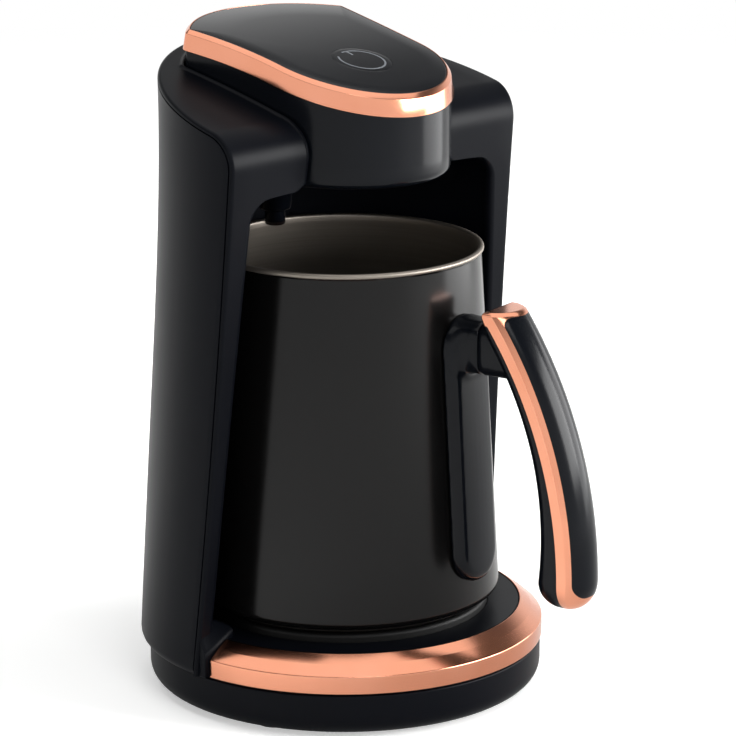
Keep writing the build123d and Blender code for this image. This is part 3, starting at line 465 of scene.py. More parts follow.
def sidePoint(t, depth=0.0):
    # a point of the side view's line at length t past the roll's start, some depth under it
    if t <= 0:
        place, out = rollStart + faceUp * t, faceOut
    elif t >= rollLength:
        place, out = rollEnd + deckBack * (t - rollLength), deckOut
    else:
        out = faceOut.copy()
        out.rotate(Matrix.Rotation(-t / form["roll"], 2))
        place = rollCentre + out * form["roll"]
    return place - out * depth


def faceLength(z):
    return (z - rollStart.y) / cos(lean)


def bayHalf(z):
    share = (z - form["bayFootZ"]) / (form["bayTopZ"] - form["bayFootZ"])
    radius = form["bayFootR"] + (form["bayTopR"] - form["bayFootR"]) * share
    y = sidePoint(faceLength(z)).x
    return sqrt(radius ** 2 - (y - form["bayY"]) ** 2)


def shellHalf(y, z):
    return sqrt(max(shellRadius(z) ** 2 - (y - shellY(z)) ** 2, 0.0))


def ontoShell(point, inset):
    # moved level towards or from the shell's axis, to lie that far inside its surface
    x, y, z = point
    dy = y - shellY(z)
    k = (shellRadius(z) - inset) / sqrt(x * x + dy * dy)
    return (x * k, shellY(z) + dy * k, z)


def deckRim(height, startY, count):
    # where a plane parallel to the deck meets the shell, from the roll's end to the back's middle
    points, y = [], startY
    for k in range(count + 1):
        z = height + tan(rise) * y
        first = asin((startY - shellY(z)) / shellRadius(z))
        a = first + (pi / 2 - first) * k / count
        for _ in range(4):  # the height follows y, and the radius the height
            y = shellY(z) + shellRadius(z) * sin(a)
            z = height + tan(rise) * y
        points.append((shellRadius(z) * cos(a), y, z))
    return points


def arcPoints(centre, radius, first, last, count):
    # without the arc's last point
    return [centre + Vector((cos(a), sin(a))) * radius for a in spread(first, last, count)[:-1]]


def headOutline(grow):
    # the head's plan, half of it from the nose's tip round the right side to the back's middle
    length = form["cornerY"] - form["noseY"]
    flare = form["cornerX"] - form["noseR"]
    bow = form["backY"] - form["cornerY"]
    sideR = (length ** 2 + flare ** 2) / (2 * flare)
    backR = (form["cornerX"] ** 2 + bow ** 2) / (2 * bow)
    nose = Vector((0, form["noseY"]))
    sideCentre = Vector((form["noseR"] + sideR, form["noseY"]))
    backCentre = Vector((0, form["backY"] - backR))
    corner = max(form["cornerRound"] + grow, 0.3)
    r1, r2 = sideR - grow + corner, backR + grow - corner
    gap = backCentre - sideCentre
    span = gap.length
    along = (span ** 2 + r1 ** 2 - r2 ** 2) / (2 * span)
    across = sqrt(r1 ** 2 - along ** 2)
    unit = gap / span
    spots = [sideCentre + unit * along + Vector((-unit.y, unit.x)) * s * across for s in (-1, 1)]
    cornerCentre = max(spots, key=lambda p: p.y)
    sideEnd = sideCentre + (cornerCentre - sideCentre).normalized() * (sideR - grow)
    backEnd = backCentre + (cornerCentre - backCentre).normalized() * (backR + grow)

    def angleTo(centre, end):
        return atan2(end.y - centre.y, end.x - centre.x)

    points = arcPoints(nose, form["noseR"] + grow, -pi / 2, 0, 20)
    points += arcPoints(sideCentre, sideR - grow, pi, angleTo(sideCentre, sideEnd), 18)
    points += arcPoints(cornerCentre, corner, angleTo(cornerCentre, sideEnd),
                        angleTo(cornerCentre, backEnd), 6)
    points += arcPoints(backCentre, backR + grow, angleTo(backCentre, backEnd), pi / 2, 14)
    points.append(Vector((0, form["backY"] + grow)))
    return points


def wholeOutline(grow):
    half = headOutline(grow)
    return half + [Vector((-p.x, p.y)) for p in half[-2:0:-1]]


def lidHeight(y):
    return form["lidZ"] + form["lidRise"] * y - form["lidCrown"] * y * y


# front frame

frontFrame = {
    "wall": 1.3, "openingWall": 2.6, "outerRound": 1.15, "openingRound": 1.8,
    # the raised lip beside the head
    "ridge": 0.7, "ridgeWidth": 1.9, "ridgeRound": 0.7, "ridgeWall": 0.6,
    "flange": 2.0, "flangeRound": 0.15,  # its rim behind the shell
    "footZ": 15.0, "headGap": 0.45, "notch": 3.0, "notchRise": 2.0,  # the notch beside the head's floor
    "noseLow": 162.5, "cornerTop": 163.0,
    "rows": {"wing": 30, "corner": 26, "nose": 24, "deck": 72},
    "blockDepth": 2.9, "blockSink": 1.5, "blockX": (50.8, 62.3),
    "blockFront": (28.3, 21.8), "blockBack": (29.0, 34.4),  # its top's height, inner and outer
    "blockFrontRound": 1.1, "blockTopRound": 1.5, "blockEdge": 0.3,
}


def resample(points, count):
    # count + 1 points at even distances along a line of points
    lengths = [0.0]
    for a, b in zip(points, points[1:]):
        lengths.append(lengths[-1] + (Vector(b) - Vector(a)).length)
    out, k = [], 0
    for i in range(count + 1):
        want = lengths[-1] * i / count
        while k < len(points) - 2 and lengths[k + 1] < want:
            k += 1
        step = lengths[k + 1] - lengths[k]
        share = (want - lengths[k]) / step if step else 0
        out.append(Vector(points[k]).lerp(Vector(points[k + 1]), share))
    return out


def deckLength(y):
    return rollLength + (y - rollEnd.x) / cos(rise)


def frameSection(r):
    # (side, inwards, depth) round the wall: i the opening, m the face, o the shell; r: the ridge's share
    p = frontFrame
    ro, rw = p["outerRound"], p["ridgeWidth"]
    ri = p["openingRound"] * (1 - r) + p["ridgeRound"] * r
    inside = p["openingWall"] + p["ridgeWall"] * r
    arc = quarterArc(15)
    section = [("i", 0, inside)]
    section += [("i", ri * c, ri * s - p["ridge"] * r) for c, s in arc]
    for q in (0.3, 0.45, 0.6, 0.75, 0.9, 1.0):  # the ridge falls to the deck in an easy curve
        lip = p["ridge"] * r * (0.5 + 0.5 * cos(pi * max(q - 0.2, 0) / 0.8))
        section.append(("i", max(q * rw, ri + 0.05 + q * 0.1), -lip))
    section += [("m", q, 0) for q in (0.25, 0.5, 0.75)]
    section += [("o", ro * s, ro * c) for c, s in arc]
    section += [("o", 0, p["wall"] - p["flangeRound"]), ("o", p["flangeRound"], p["wall"]),
                ("o", p["flange"], p["wall"]), ("i", p["flange"], inside)]
    return section


def makeFrontFrame():
    p = frontFrame
    inner, outer, ridge = [], [], []

    def addRun(innerPoints, outerPoints, count, ridges):
        first = 1 if inner else 0
        inner.extend(resample(innerPoints, count)[first:])
        outer.extend(resample(outerPoints, count)[first:])
        ridge.extend(spread(*ridges, count)[first:])

    def rim(z):
        return (shellHalf(sidePoint(faceLength(z)).x, z), faceLength(z))

    def noseSide(t):
        # half the width of the gap that the head stands in
        return sqrt((form["noseR"] + p["headGap"]) ** 2 - min(sidePoint(t).x - form["noseY"], 0) ** 2)

    corner, top = form["bayCorner"], form["bayTopZ"]
    cornerZ = top - corner
    heights = spread(p["footZ"], cornerZ, p["rows"]["wing"])
    addRun([(bayHalf(z), faceLength(z)) for z in heights], [rim(z) for z in heights],
           p["rows"]["wing"], (0, 0))
    cornerX = bayHalf(cornerZ) - corner
    bend = [(cornerX + corner * cos(radians(a)), faceLength(cornerZ + corner * sin(radians(a))))
            for a in range(0, 91, 6)]
    headSide = noseSide(faceLength(top))
    bend += [(headSide + p["notch"], faceLength(top)), (headSide, faceLength(top + p["notchRise"]))]
    addRun(bend, [rim(z) for z in spread(cornerZ, p["cornerTop"], 12)], p["rows"]["corner"], (0, 0))

    addRun([(noseSide(t), t) for t in spread(faceLength(p["noseLow"]), rollLength, 30)],
           [(shellHalf(*sidePoint(t)), t) for t in spread(faceLength(p["cornerTop"]), rollLength, 30)],
           p["rows"]["nose"], (0, 1))

    innerDeck = [(noseSide(rollLength), rollLength)]
    innerDeck += [(q.x, deckLength(q.y)) for q in headOutline(p["headGap"]) if q.y > rollEnd.x]
    outerDeck = [(x, deckLength(y)) for x, y, z in deckRim(form["deckZ"], rollEnd.x, 60)]
    addRun(innerDeck, outerDeck, p["rows"]["deck"], (1, 1))

    rows = []
    for a, b, r in zip(inner, outer, ridge):
        across, most = (b - a).normalized(), (b - a).length * 0.45
        ring = []
        for side, e, d in frameSection(r):
            if side == "i":
                q = a + across * min(e, most)
            elif side == "o":
                q = b - across * min(e, most)
            else:
                q = (a + across * min(p["ridgeWidth"], most)).lerp(b - across * min(p["outerRound"], most), e)
            yz = sidePoint(q.y, d)
            point = (q.x, yz.x, yz.y)
            ring.append(ontoShell(point, min(e, p["outerRound"])) if side == "o" else point)
        rows.append(ring)
    rows += [[(-x, y, z) for x, y, z in ring] for ring in rows[-2::-1]]
    return joinPieces(bentGrid("frontFrame", rows), makeFootBlock(1), makeFootBlock(-1))


def makeFootBlock(side):
    # the little shoe at each wing's foot, its outer half sloping forwards and down
    p = frontFrame
    low, front = p["footZ"], sidePoint(faceLength(p["footZ"])).x - p["blockDepth"]
    back = front + p["blockDepth"] + p["blockSink"]
    inner, outer = p["blockX"]
    clearSelection()
    bpy.ops.mesh.primitive_cube_add(size=0.01)
    block = bpy.context.object
    for vertex in block.data.vertices:
        outside, behind, high = (value > 0 for value in vertex.co)
        top = p["blockBack" if behind else "blockFront"][1 if outside else 0]
        vertex.co = Vector((side * (outer if outside else inner), back if behind else front,
                            top if high else low)) * mm
    openMesh(block)
    turnOutwards()
    closeMesh()

    def above(edge, height):
        return all(v.co.z > (low + height) * mm for v in edge.verts)

    def onOuterTop(edge):
        runsBack = abs(edge.verts[0].co.y - edge.verts[1].co.y) > 1.2 * mm
        return runsBack and above(edge, 4) and all(abs(abs(v.co.x) - outer * mm) < 1e-5 for v in edge.verts)

    roundEdges(block, p["blockFrontRound"], 5,
               lambda e: above(e, 1) and all(abs(v.co.y - front * mm) < 1e-6 for v in e.verts))
    roundEdges(block, p["blockTopRound"], 5, onOuterTop)
    roundEdges(block, p["blockEdge"], 3, lambda e: e.calc_face_angle(0) > radians(50))
    return block


finishPiece(makeFrontFrame(), "machine", "body_plastic", ["front_frame"], 40)


# outer shell

outerShell = {"seam": 0.35, "wall": 2.5, "footZ": 14.6, "footRound": 3.2, "columns": 90, "edge": 0.6,
              "sharpFrom": 18.0,  # the foot's own edges stay as they are
              "straightTop": 160.0, "rows": (36, 3, 16, 40)}  # side, up to the roll, roll, deck


def makeOuterShell():
    p = outerShell
    depth = frontFrame["wall"] + p["seam"]
    roll = form["roll"] - depth
    bendTop = rollCentre + deckOut * roll
    deckAt = form["deckZ"] - depth / cos(rise)
    low = rollCentre.y - sin(lean) * roll

    def edgeY(z):
        if z <= low:
            return form["faceY"] - tan(lean) * z + depth / cos(lean)
        if z <= bendTop.y:
            return rollCentre.x - sqrt(max(roll ** 2 - (z - rollCentre.y) ** 2, 0))
        return (z - deckAt) / tan(rise)

    heights = [(p["footZ"], p["footRound"])]
    heights += [(p["footZ"] + p["footRound"] * c, p["footRound"] * s) for c, s in quarterArc(15, 15)]
    straight = p["straightTop"]
    higher = spread(heights[-1][0], straight, p["rows"][0])[1:] + spread(straight, low, p["rows"][1])[1:]
    higher += [rollCentre.y + roll * sin(a) for a in spread(-lean, pi / 2 - rise, p["rows"][2])[1:]]
    higher += [z for x, y, z in deckRim(deckAt, bendTop.x, p["rows"][3])[1:]]
    rows = []
    for z, inset in heights + [(z, 0) for z in higher]:
        radius = shellRadius(z) - inset
        start = asin(max(min((edgeY(z) - shellY(z)) / radius, 1), -1))
        turns = [start + (pi - 2 * start) * k / p["columns"] for k in range(p["columns"] + 1)]
        rows.append([(radius * cos(a), shellY(z) + radius * sin(a), z) for a in turns])
    piece = bentGrid("outerShell", rows, wrap=False, caps=False)
    middle = piece.data.polygons[len(piece.data.polygons) // 2]
    if middle.normal.dot(Vector((middle.center.x, middle.center.y, 0))) < 0:
        piece.data.flip_normals()
    applyModifier(piece, "SOLIDIFY", thickness=p["wall"] * mm, offset=-1, use_rim=True, use_even_offset=False)
    roundEdges(piece, p["edge"], 3, lambda e: e.calc_face_angle(0) > radians(60)
               and all(v.co.z > p["sharpFrom"] * mm for v in e.verts), clamp_overlap=True)
    return piece


finishPiece(makeOuterShell(), "machine", "body_plastic", ["outer_shell"], 40)


# head and lid

head = {"floorZ": 160.5, "floorRound": 3.0, "bandHeight": 6.3}


def makeHead():
    p = head
    rows = []
    for c, s in quarterArc(15):
        plan = wholeOutline(-p["floorRound"] * s)
        rows.append([(q.x, q.y, p["floorZ"] + p["floorRound"] * c) for q in plan])
    start = p["floorZ"] + p["floorRound"]
    for share in (0.2, 0.4, 0.6, 0.8, 1.0):
        rows.append([(q.x, q.y, start + (lidHeight(q.y) - p["bandHeight"] - start) * share)
                     for q in wholeOutline(0)])
    return bentGrid("headShell", rows)


finishPiece(makeHead(), "machine", "gloss_black", ["head_shell"])

lidBand = {"proud": 0.4, "wall": 1.75, "chamfer": 1.15, "chamferLean": 0.1, "soft": 0.25, "lowSoft": 0.3,
           "innerSoft": 0.05, "draft": 0.42}


def makeLidBand():
    p = lidBand
    high, out, inn = head["bandHeight"], p["proud"], p["proud"] - p["wall"]
    section = roundedLine([
        (inn, high, 0), (out + p["draft"], high, p["lowSoft"]), (out - p["draft"], p["chamfer"], p["soft"]),
        (out - p["draft"] - p["chamfer"] + p["chamferLean"], 0.0, p["soft"]), (inn, 0.0, p["innerSoft"])], 3)
    return closedBand("lidBand", [[(q.x, q.y, lidHeight(q.y) - depth) for q in wholeOutline(grow)]
                                  for grow, depth in section])


finishPiece(makeLidBand(), "machine", "copper_plate", ["lid_band"], 30)

lidPlate = {"gap": 0.12, "wall": 2.4, "edge": 0.35, "holeSoft": 0.08, "holeRim": 0.15}
startButton = {
    "radius": 9.2, "y": -7.6, "hole": 9.27, "edge": 0.1, "lowEdge": 0.2, "wall": 2.4,
    "rimIn": 1.4, "rimDrop": 0.01, "middle": 4.0,
    "ring": 7.4, "ringWidth": 0.62, "ringHeight": 0.03, "ringEdge": 0.05, "ringGap": 34.0, "markSink": 0.4,
    "dash": 3.4, "dashHalf": 0.35, "dashEdge": 0.04,
}


def makeLidPlate():
    p = lidPlate
    slope = cos(atan2(form["lidRise"], 1))
    grow = lidBand["proud"] - lidBand["wall"] - p["gap"]
    centreY, hole, soft = startButton["y"], startButton["hole"], p["holeSoft"]
    rows = []

    def addRow(points, depth):
        rows.append([(x, y, lidHeight(y) - depth) for x, y in points])

    def holePoint(q, radius):
        a = atan2(q.y - centreY, q.x)
        return Vector((radius * cos(a), centreY + radius * slope * sin(a)))

    addRow(wholeOutline(grow), p["wall"])
    for c, s in quarterArc(18):
        addRow(wholeOutline(grow - p["edge"] * c), p["edge"] * s)
    flat = wholeOutline(grow - p["edge"])
    for share in (0.3, 0.6, 0.85):
        addRow([q.lerp(holePoint(q, hole + soft), share) for q in flat], 0)
    addRow([holePoint(q, hole + soft + p["holeRim"]) for q in flat], 0)
    for c, s in quarterArc(30):
        addRow([holePoint(q, hole + soft * s) for q in flat], soft * c)
    addRow([holePoint(q, hole) for q in flat], p["wall"])
    return closedBand("lidPlate", rows)


finishPiece(makeLidPlate(), "machine", "gloss_black", ["lid_plate"], 30)


def makeStartButton():
    p = startButton
    section = roundedLine([
        (0, -p["wall"], 0), (p["radius"], -p["wall"], p["lowEdge"]), (p["radius"], 0, p["edge"]),
        (p["radius"] - p["rimIn"], -p["rimDrop"], 0), (p["middle"], 0, 0), (0, 0, 0)], 4)
    cap = spunPiece("startButton", section, 96, closed=False)
    # the broken ring and its dash, a raised print on the cap
    outer, inn, sunk, rim = p["ring"], p["ring"] - p["ringWidth"], -p["markSink"], p["ringHeight"]
    section = roundedLine([(inn, sunk, 0), (outer, sunk, 0), (outer, rim, p["ringEdge"]),
                           (inn, rim, p["ringEdge"])], 2)
    ring = spunPiece("ringMark", section, 72, 90 + p["ringGap"] / 2, 360 - p["ringGap"])
    openMesh(ring)
    fillHoles()
    turnOutwards()
    closeMesh()
    clearSelection()
    bpy.ops.mesh.primitive_cube_add(size=0.001, location=(0, 0, 0))
    dash = bpy.context.object
    for vertex in dash.data.vertices:
        x, y, z = (value > 0 for value in vertex.co)
        vertex.co = Vector((p["dashHalf"] if x else -p["dashHalf"], outer if y else outer - p["dash"],
                            rim if z else sunk)) * mm
    roundEdges(dash, p["dashEdge"], 2, lambda e: all(v.co.z > (rim - 0.01) * mm for v in e.verts))
    capFaces = len(cap.data.polygons)
    whole = joinPieces(cap, ring, dash)
    for k, face in enumerate(whole.data.polygons):
        face.material_index = 0 if k < capFaces else 1
    for vertex in whole.data.vertices:  # bent to the lid's crown
        vertex.co.z -= form["lidCrown"] * (vertex.co.y / mm) ** 2 * mm
    slope = form["lidRise"] - 2 * form["lidCrown"] * p["y"]
    placeMesh(whole, Matrix.Translation((0, p["y"] * mm, lidHeight(p["y"]) * mm))
              @ Matrix.Rotation(atan2(slope, 1), 4, "X"))
    return whole


finishPiece(makeStartButton(), "button", "gloss_black", ["start_button"],
            finishNames=["gloss_black", "markInk"])


# overflow sensor under the head

sensor = {"y": 31.0, "rootR": 8.0, "rootZ": 160.5, "tipR": 4.9, "tipZ": 143.5, "noseR": 3.2, "noseZ": 139.8,
          "shoulder": 1.0, "neck": 0.6, "noseRound": 0.4}
p = sensor
piece = spunPiece("sensorHousing", roundedLine([
    (0, p["rootZ"], 0), (p["rootR"], p["rootZ"], 0), (p["tipR"], p["tipZ"], p["shoulder"]),
    (p["noseR"], p["tipZ"], p["neck"]), (p["noseR"], p["noseZ"], p["noseRound"]), (0, p["noseZ"], 0)], 4),
    64, closed=False, centre=(0, p["y"]))
finishPiece(piece, "machine", "gloss_black", ["sensor_housing"])


# base and copper ring

base = {"radius": 60.5, "low": 1.5, "top": 14.4, "round": 5.5, "topRound": 0.6, "wall": 2.2, "cover": 55.0,
        "coverRound": 0.3, "lipR": 53.0, "floorZ": 3.7}
p = base
inside, under = p["radius"] - p["wall"], p["top"] - p["wall"]
piece = spunPiece("baseShell", roundedLine([
    (p["cover"], p["low"], p["coverRound"]), (p["radius"], p["low"], p["round"]),
    (p["radius"], p["top"], p["topRound"]), (p["lipR"], p["top"], 0), (p["lipR"], under, 0),
    (inside, under, 0), (inside, p["floorZ"], 0), (p["cover"], p["floorZ"], 0)], 7), 160)
finishPiece(piece, "machine", "body_plastic", ["base_shell"])

copperRing = {"radius": 61.0, "low": 15.0, "shoulder": 20.5, "innerR": 53.9, "innerZ": 25.9, "dome": 0.12,
              "wall": 1.6, "endY": -5.26, "soft": 0.55, "lowSoft": 0.35, "domeRound": 3.0, "innerSoft": 0.4}


def makeCopperRing():
    p = copperRing
    inside = p["radius"] - p["wall"]
    crown = ((p["radius"] + p["innerR"]) / 2 + p["dome"], (p["shoulder"] + p["innerZ"]) / 2 + p["dome"])
    section = roundedLine([
        (p["radius"], p["low"], p["lowSoft"]), (p["radius"], p["shoulder"], p["soft"]),
        (*crown, p["domeRound"]), (p["innerR"], p["innerZ"], p["innerSoft"]),
        (p["innerR"], p["innerZ"] - p["wall"], 0), (inside, p["shoulder"] - p["wall"], 0),
        (inside, p["low"], 0)], 6)
    ring = spunPiece("copperRing", section, 200)
    openMesh(ring)
    bpy.ops.mesh.select_all(action="SELECT")
    bpy.ops.mesh.bisect(plane_co=(0, p["endY"] * mm, 0), plane_no=(0, 1, 0), use_fill=True, clear_outer=True)
    closeMesh()
    return ring


finishPiece(makeCopperRing(), "machine", "copper_plate", ["base_ring"], 24)


# pot

pot = {"bottom": 29.7, "footR": 47.5, "footZ": 32.0, "corner": 2.8, "rimR": 41.4, "rimZ": 137.0, "wall": 1.0,
       "bead": 0.9, "innerCorner": 3.0, "baseR": 43.0, "baseZ": 28.2, "baseEdge": 0.4, "baseTopEdge": 0.2,
       "straightFrom": 40.0, "underBead": 1.2, "underRim": 1.5}


def potRadius(z):
    p = pot
    return p["footR"] + (p["rimR"] - p["footR"]) * (z - p["footZ"]) / (p["rimZ"] - p["footZ"])


def makePot():
    p = pot
    inside, floorZ = p["rimR"] - p["wall"], p["bottom"] + p["wall"]
    beadX = inside + p["bead"]
    bead = [(beadX + p["bead"] * cos(radians(a)), p["rimZ"] + p["bead"] * sin(radians(a)))
            for a in range(-60, 181, 20)]
    heights = [p["rimZ"] - p["underBead"] - (p["rimZ"] - p["straightFrom"]) * k / 8 for k in range(7, -1, -1)]
    section = roundedLine([(0, p["bottom"], 0), (potRadius(p["bottom"]), p["bottom"], p["corner"])]
                          + [(potRadius(z), z, 0) for z in heights], 6)
    section += bead
    section += roundedLine([(inside, p["rimZ"] - p["underRim"], 0)]
                           + [(potRadius(z) - p["wall"], z, 0) for z in heights[-2::-1]]
                           + [(potRadius(p["bottom"]) - p["wall"], floorZ, p["innerCorner"]),
                              (0, floorZ, 0)], 6)
    piece = spunPiece("potBody", section, 192, closed=False)
    for face in piece.data.polygons:
        # the coat covers the outside, and the bead and the inside are bare
        c, n = face.center / mm, face.normal
        coated = n.x * c.x + n.y * c.y > 0 or n.z < -0.5
        onBead = c.z > p["rimZ"] - 0.6
        insideFloor = n.z > 0.5 and c.z < p["straightFrom"]
        face.material_index = 0 if coated and not onBead and not insideFloor else 1
    return piece


finishPiece(makePot(), "pot", "pot_coat", ["pot_body"], finishNames=["pot_coat", "bare_steel"])
p = pot
piece = spunPiece("potBase", roundedLine([
    (0, p["baseZ"], 0), (p["baseR"], p["baseZ"], p["baseEdge"]), (p["baseR"], p["bottom"], p["baseTopEdge"]),
    (0, p["bottom"], 0)], 3), 128, closed=False)
# the pot base gets the darkened steel, painted shade for the gap under the pot
finishPiece(piece, "pot", "bare_steel", ["pot_base"], finishNames=["paintedShadePotBase"])


# handle

handle = {
    "azimuth": 12.5,
    "plateGap": 0.2, "plateWall": 3.5, "plateHalf": 10.7, "plateLow": 39.5, "plateHigh": 121.5,
    "plateCorner": 9.8, "plateRound": 3.2, "plateLowEdge": 0.3,
    "armLow": 104.8, "armHigh": 121.0, "armHalf": 7.5, "armRound": 5.0, "armStart": 40.0, "armEnd": 52.0,
    "voxel": 0.42, "join": 3.4, "joinSmoothing": 42,  # the arm runs into the plate in an easy curve
    "stubStart": 52.25, "stubEnd": 62.5, "stubEdge": 0.35,
}
handlePlace = Matrix.Rotation(radians(handle["azimuth"] - 90), 4, "Z")


def roundedRectangle(halfWidth, low, high, corner):
    # points round a rectangle in (y, z), its corners arcs
    points = []
    for cy, cz, start in ((halfWidth - corner, low + corner, -90), (halfWidth - corner, high - corner, 0),
                          (-halfWidth + corner, high - corner, 90), (-halfWidth + corner, low + corner, 180)):
        for a in spread(start, start + 90, 8):
            points.append((cy + corner * cos(radians(a)), cz + corner * sin(radians(a))))
    return points


def armRow(x, inset=0.0):
    p = handle
    return [(x, y, z) for y, z in roundedRectangle(p["armHalf"] - inset, p["armLow"] + inset,
                                                   p["armHigh"] - inset, p["armRound"] - inset)]


def makeBracket():
    p = handle
    rows = []

    def addLayer(inset, depth):
        corner = max(p["plateCorner"] - inset, 0.4)
        ring = roundedRectangle(p["plateHalf"] - inset, p["plateLow"] + inset, p["plateHigh"] - inset, corner)
        rows.append([(sqrt((potRadius(q.y) + depth) ** 2 - q.x ** 2), q.x, q.y)
                     for q in resample([*ring, ring[0]], 120)[:-1]])

    top, r = p["plateGap"] + p["plateWall"], p["plateRound"]
    addLayer(4, p["plateGap"])
    addLayer(p["plateLowEdge"], p["plateGap"])
    addLayer(0, p["plateGap"] + p["plateLowEdge"])
    for c, s in quarterArc(15):
        addLayer(r * c, top - r * s)
    for inset in (3.6, 5.4, 7.4, 9.4):
        addLayer(inset, top)
    plate = bentGrid("plate", rows)
    arm = bentGrid("arm", [armRow(x) for x in spread(p["armStart"], p["armEnd"], 6)])
    whole = joinPieces(plate, arm)
    whole.name = "handleBracket"
    applyModifier(whole, "REMESH", mode="VOXEL", voxel_size=p["voxel"] * mm)
    middle, halfHeight = (p["armLow"] + p["armHigh"]) / 2, (p["armHigh"] - p["armLow"]) / 2

    def nearJoin(co):
        # beside the corner between the plate's face and the arm's side
        x, y, z = co / mm
        depth = sqrt(x * x + y * y) - potRadius(z)
        dy = max(abs(y) - p["armHalf"] + p["armRound"], 0)
        dz = max(abs(z - middle) - halfHeight + p["armRound"], 0)
        fromArm = sqrt(dy * dy + dz * dz) - p["armRound"]
        return abs(depth - top) < p["join"] and abs(fromArm) < p["join"] and depth > 1.0

    cage = openMesh(whole)
    bpy.ops.mesh.select_mode(type="VERT")
    for vertex in cage.verts:
        vertex.select_set(nearJoin(vertex.co))
    bpy.ops.mesh.vertices_smooth(factor=0.5, repeat=p["joinSmoothing"])
    bpy.ops.mesh.select_all(action="SELECT")
    bpy.ops.mesh.vertices_smooth(factor=0.5, repeat=4)
    closeMesh()
    placeMesh(whole, handlePlace)
    return whole


finishPiece(makeBracket(), "pot", "gloss_black", ["handle_bracket"], 60)

grip = {
    "half": 8.5, "topZ": 125.3, "topX": 54.0, "topRound": 1.1,
    "innerR": 105.0, "innerX": 73.7, "innerZ": 57.0, "palmRound": 3.6,
    "splitR": 133.0, "splitX": 80.8, "splitZ": 44.0, "coreTop": 121.35,
    "side": 3.1, "facet": 4.6, "facetHalf": 7.4, "crown": 7.8,
    "leastCore": 0.35, "leastSide": 1.0, "leastFacet": 0.8,  # the least depth of each zone
    "tipX": 81.4, "tipZ": 45.2, "tipR": 8.5,
    "insertLow": 41.5, "insertHigh": 124.1, "insertTopRound": 2.8, "insertTipRound": 4.7,
    "straightLow": 50.0, "rows": 44, "merge": 4e-6,  # merge in metres
    "middle": (72, 0, 85),  # what each part's outside faces away from
    # each part's wall and its edges' rounding
    "coreWall": (1.2, 0.15), "trimWall": (0.9, 0.18), "insertWall": (0.9, 0.2),
}


def insertHalf(z):
    # the insert's half width, drawn in by its rounded ends
    p = grip
    half = p["facetHalf"]
    for end, rounding, sign in ((p["insertHigh"], p["insertTopRound"], 1),
                                (p["insertLow"], p["insertTipRound"], -1)):
        into = sign * (z - (end - sign * rounding))
        if into > 0:
            half = p["facetHalf"] - rounding + sqrt(max(rounding ** 2 - min(into, rounding) ** 2, 0))
    return half


def gripRing(z, inset=0.0):
    # a level slice: (x, y) from the palm's middle round one side to the crown's middle
    p = grip
    zz = max(z, p["tipZ"])
    inner = p["innerX"] - p["innerR"] + sqrt(max(p["innerR"] ** 2 - (zz - p["innerZ"]) ** 2, 0))
    inner = max(inner, p["topX"]) + inset
    centre = p["splitX"] - p["splitR"]

    def out(extra):
        return centre + sqrt((p["splitR"] + extra) ** 2 - (zz - p["splitZ"]) ** 2) - inset

    def atY(y):
        # how far outside the split the crown stands at y
        f = p["facetHalf"]
        bow = p["crown"] - p["facet"]
        radius = (f * f + bow * bow) / (2 * bow)
        return p["crown"] - radius + sqrt(radius ** 2 - y * y)

    half = p["half"] - inset
    split = max(out(0) + inset, inner + p["leastCore"])
    side = max(out(p["side"]), split + p["leastSide"])
    palm = min(p["palmRound"], (split - inner) * 0.8)
    palmSide = min(palm, half)
    points = [(inner, 0), (inner, (half - palmSide) * 0.5)]
    points += [(inner + palm * c, half - palmSide * s) for c, s in quarterArc(15)]
    points.append((inner + (split - inner) * 0.9 if palm < split - inner else split, half))
    points.append((split, half))  # column 10, splitColumn
    points += [(split + (side - split) * q, half) for q in (0.5, 1.0)]
    facet = p["facetHalf"] - inset * 0.7
    edgeX = max(out(p["facet"]), side + p["leastFacet"])
    points += [(side + (edgeX - side) * q, half + (facet - half) * q) for q in (0.5, 1.0)]
    narrow = min(insertHalf(z), facet)
    crown = [facet + (narrow - facet) * q for q in (0.5, 1.0)]  # column 16, insertColumn
    crown += [narrow * (1 - q) for q in (0.2, 0.4, 0.6, 0.8, 1.0)]
    points += [(out(atY(y)), y) for y in crown]
    if z < p["tipZ"]:  # the fingertip end draws in round its centre
        k = sqrt(max(1 - ((p["tipZ"] - z) / p["tipR"]) ** 2, 0.0))
        points = [(p["tipX"] + (x - p["tipX"]) * k, y * k ** 0.9) for x, y in points]
    return points


splitColumn, insertColumn = 10, 16


def makeGripSkin():
    # closed rings from the flat top down to the fingertip, with their heights
    p = grip
    heights = [(p["topZ"] - p["topRound"] * (1 - sin(radians(a))), p["topRound"] * (1 - cos(radians(a))))
               for a in range(90, -1, -18)]
    tops = [p["insertHigh"] - p["insertTopRound"] * c for c, s in quarterArc(10)]
    lower = [z for z in tops if z < heights[-1][0] - 0.05]
    lower += spread(lower[-1], p["straightLow"], p["rows"])[1:]
    lower += spread(p["straightLow"], p["insertLow"] + p["insertTipRound"], 2)[1:]
    lower += [p["insertLow"] + p["insertTipRound"] * s for c, s in quarterArc(9, 9)]
    ends = [p["tipZ"] - p["tipR"] * share for share in (*(sin(radians(a)) for a in range(20, 90, 6)), 0.9995)]
    lower += [z for z in ends if z < p["insertLow"] - 0.1]
    heights += [(z, 0) for z in lower]
    rows = []
    for z, inset in heights:
        half = gripRing(z, inset)
        rows.append([(x, y, z) for x, y in half] + [(x, -y, z) for x, y in half[-2:0:-1]])
    return rows, [z for z, inset in heights]


gripRows, gripHeights = makeGripSkin()


def partAt(column, high, low):
    # the part that a face of the grip's skin belongs to
    if column < splitColumn and high < grip["coreTop"]:
        return "gripCore"
    if column >= insertColumn and grip["insertLow"] < (high + low) / 2 < grip["insertHigh"]:
        return "gripInsert"
    return "gripTrim"


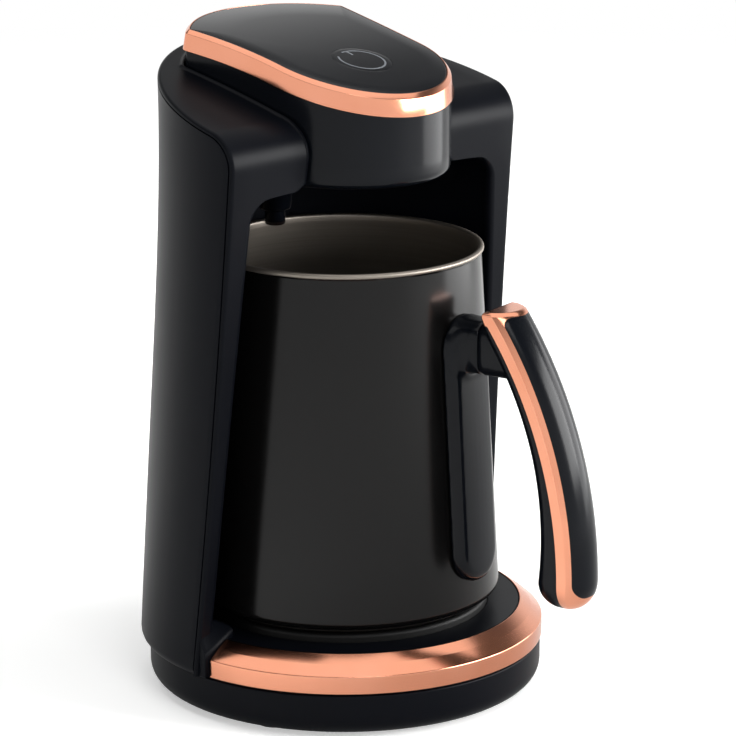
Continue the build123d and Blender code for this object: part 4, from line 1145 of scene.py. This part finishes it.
def makeGripPart(name):
    # the faces of the grip's skin that belong to one part
    clearSelection()
    count = len(gripRows[0])
    bpy.ops.mesh.primitive_grid_add(x_subdivisions=count, y_subdivisions=len(gripRows) - 1, size=0.01)
    piece = namePrimitive(name)
    setPoints(piece, [point for row in gripRows for point in [*row, row[0]]])
    cage = openMesh(piece)
    bpy.ops.mesh.select_mode(type="FACE")
    for face in cage.faces:
        row, column = divmod(face.index, count)
        mirrored = min(column, count - 1 - column)
        face.select_set(partAt(mirrored, gripHeights[row], gripHeights[row + 1]) != name)
    bmesh.update_edit_mesh(piece.data)
    bpy.ops.mesh.delete(type="FACE")
    mergePoints(grip["merge"])
    closeMesh()
    return piece


def makeTopPatch(name):
    # the grip's flat top, in lines from the palm side to the crown
    ring = gripRows[0]
    count = len(ring)
    lines = []
    for k in range(count // 2 + 1):
        a, b = Vector(ring[k]), Vector(ring[(count - k) % count])
        lines.append([tuple(a.lerp(b, q / 8)) for q in range(9)])
    return bentGrid(name, lines, wrap=False, caps=False)


def closePart(piece, wall, rim):
    # turned outwards, given its wall and soft edges, and put in place
    openMesh(piece)
    turnOutwards()
    closeMesh()
    centre = Vector(grip["middle"]) * mm
    if sum(face.normal.dot(face.center - centre) * face.area for face in piece.data.polygons) < 0:
        piece.data.flip_normals()
    applyModifier(piece, "SOLIDIFY", thickness=wall * mm, offset=-1, use_rim=True, use_even_offset=False)
    applyModifier(piece, "BEVEL", width=rim * mm, segments=2, limit_method="ANGLE", angle_limit=radians(62))
    placeMesh(piece, handlePlace)


core = makeGripPart("gripCore")
trim = joinPieces(makeGripPart("gripTrim"), makeTopPatch("trimTop"))
insert = makeGripPart("gripInsert")
for part in (core, trim):
    openMesh(part)
    mergePoints(grip["merge"])
    closeMesh()
closePart(core, *grip["coreWall"])
closePart(trim, *grip["trimWall"])
closePart(insert, *grip["insertWall"])

p = handle
stub = bentGrid("gripStub", [armRow(p["stubStart"], p["stubEdge"])]
                + [armRow(x) for x in (53.0, 54.0, 56.0, 58.0, 60.0, p["stubEnd"])])
placeMesh(stub, handlePlace)
core = joinPieces(core, stub)
finishPiece(core, "pot", "gloss_black", ["grip_core"], 34)
finishPiece(trim, "pot", "copper_plate", ["grip_trim"], 26)
finishPiece(insert, "pot", "gloss_black", ["grip_insert"], 34)

# closing

clearSelection()
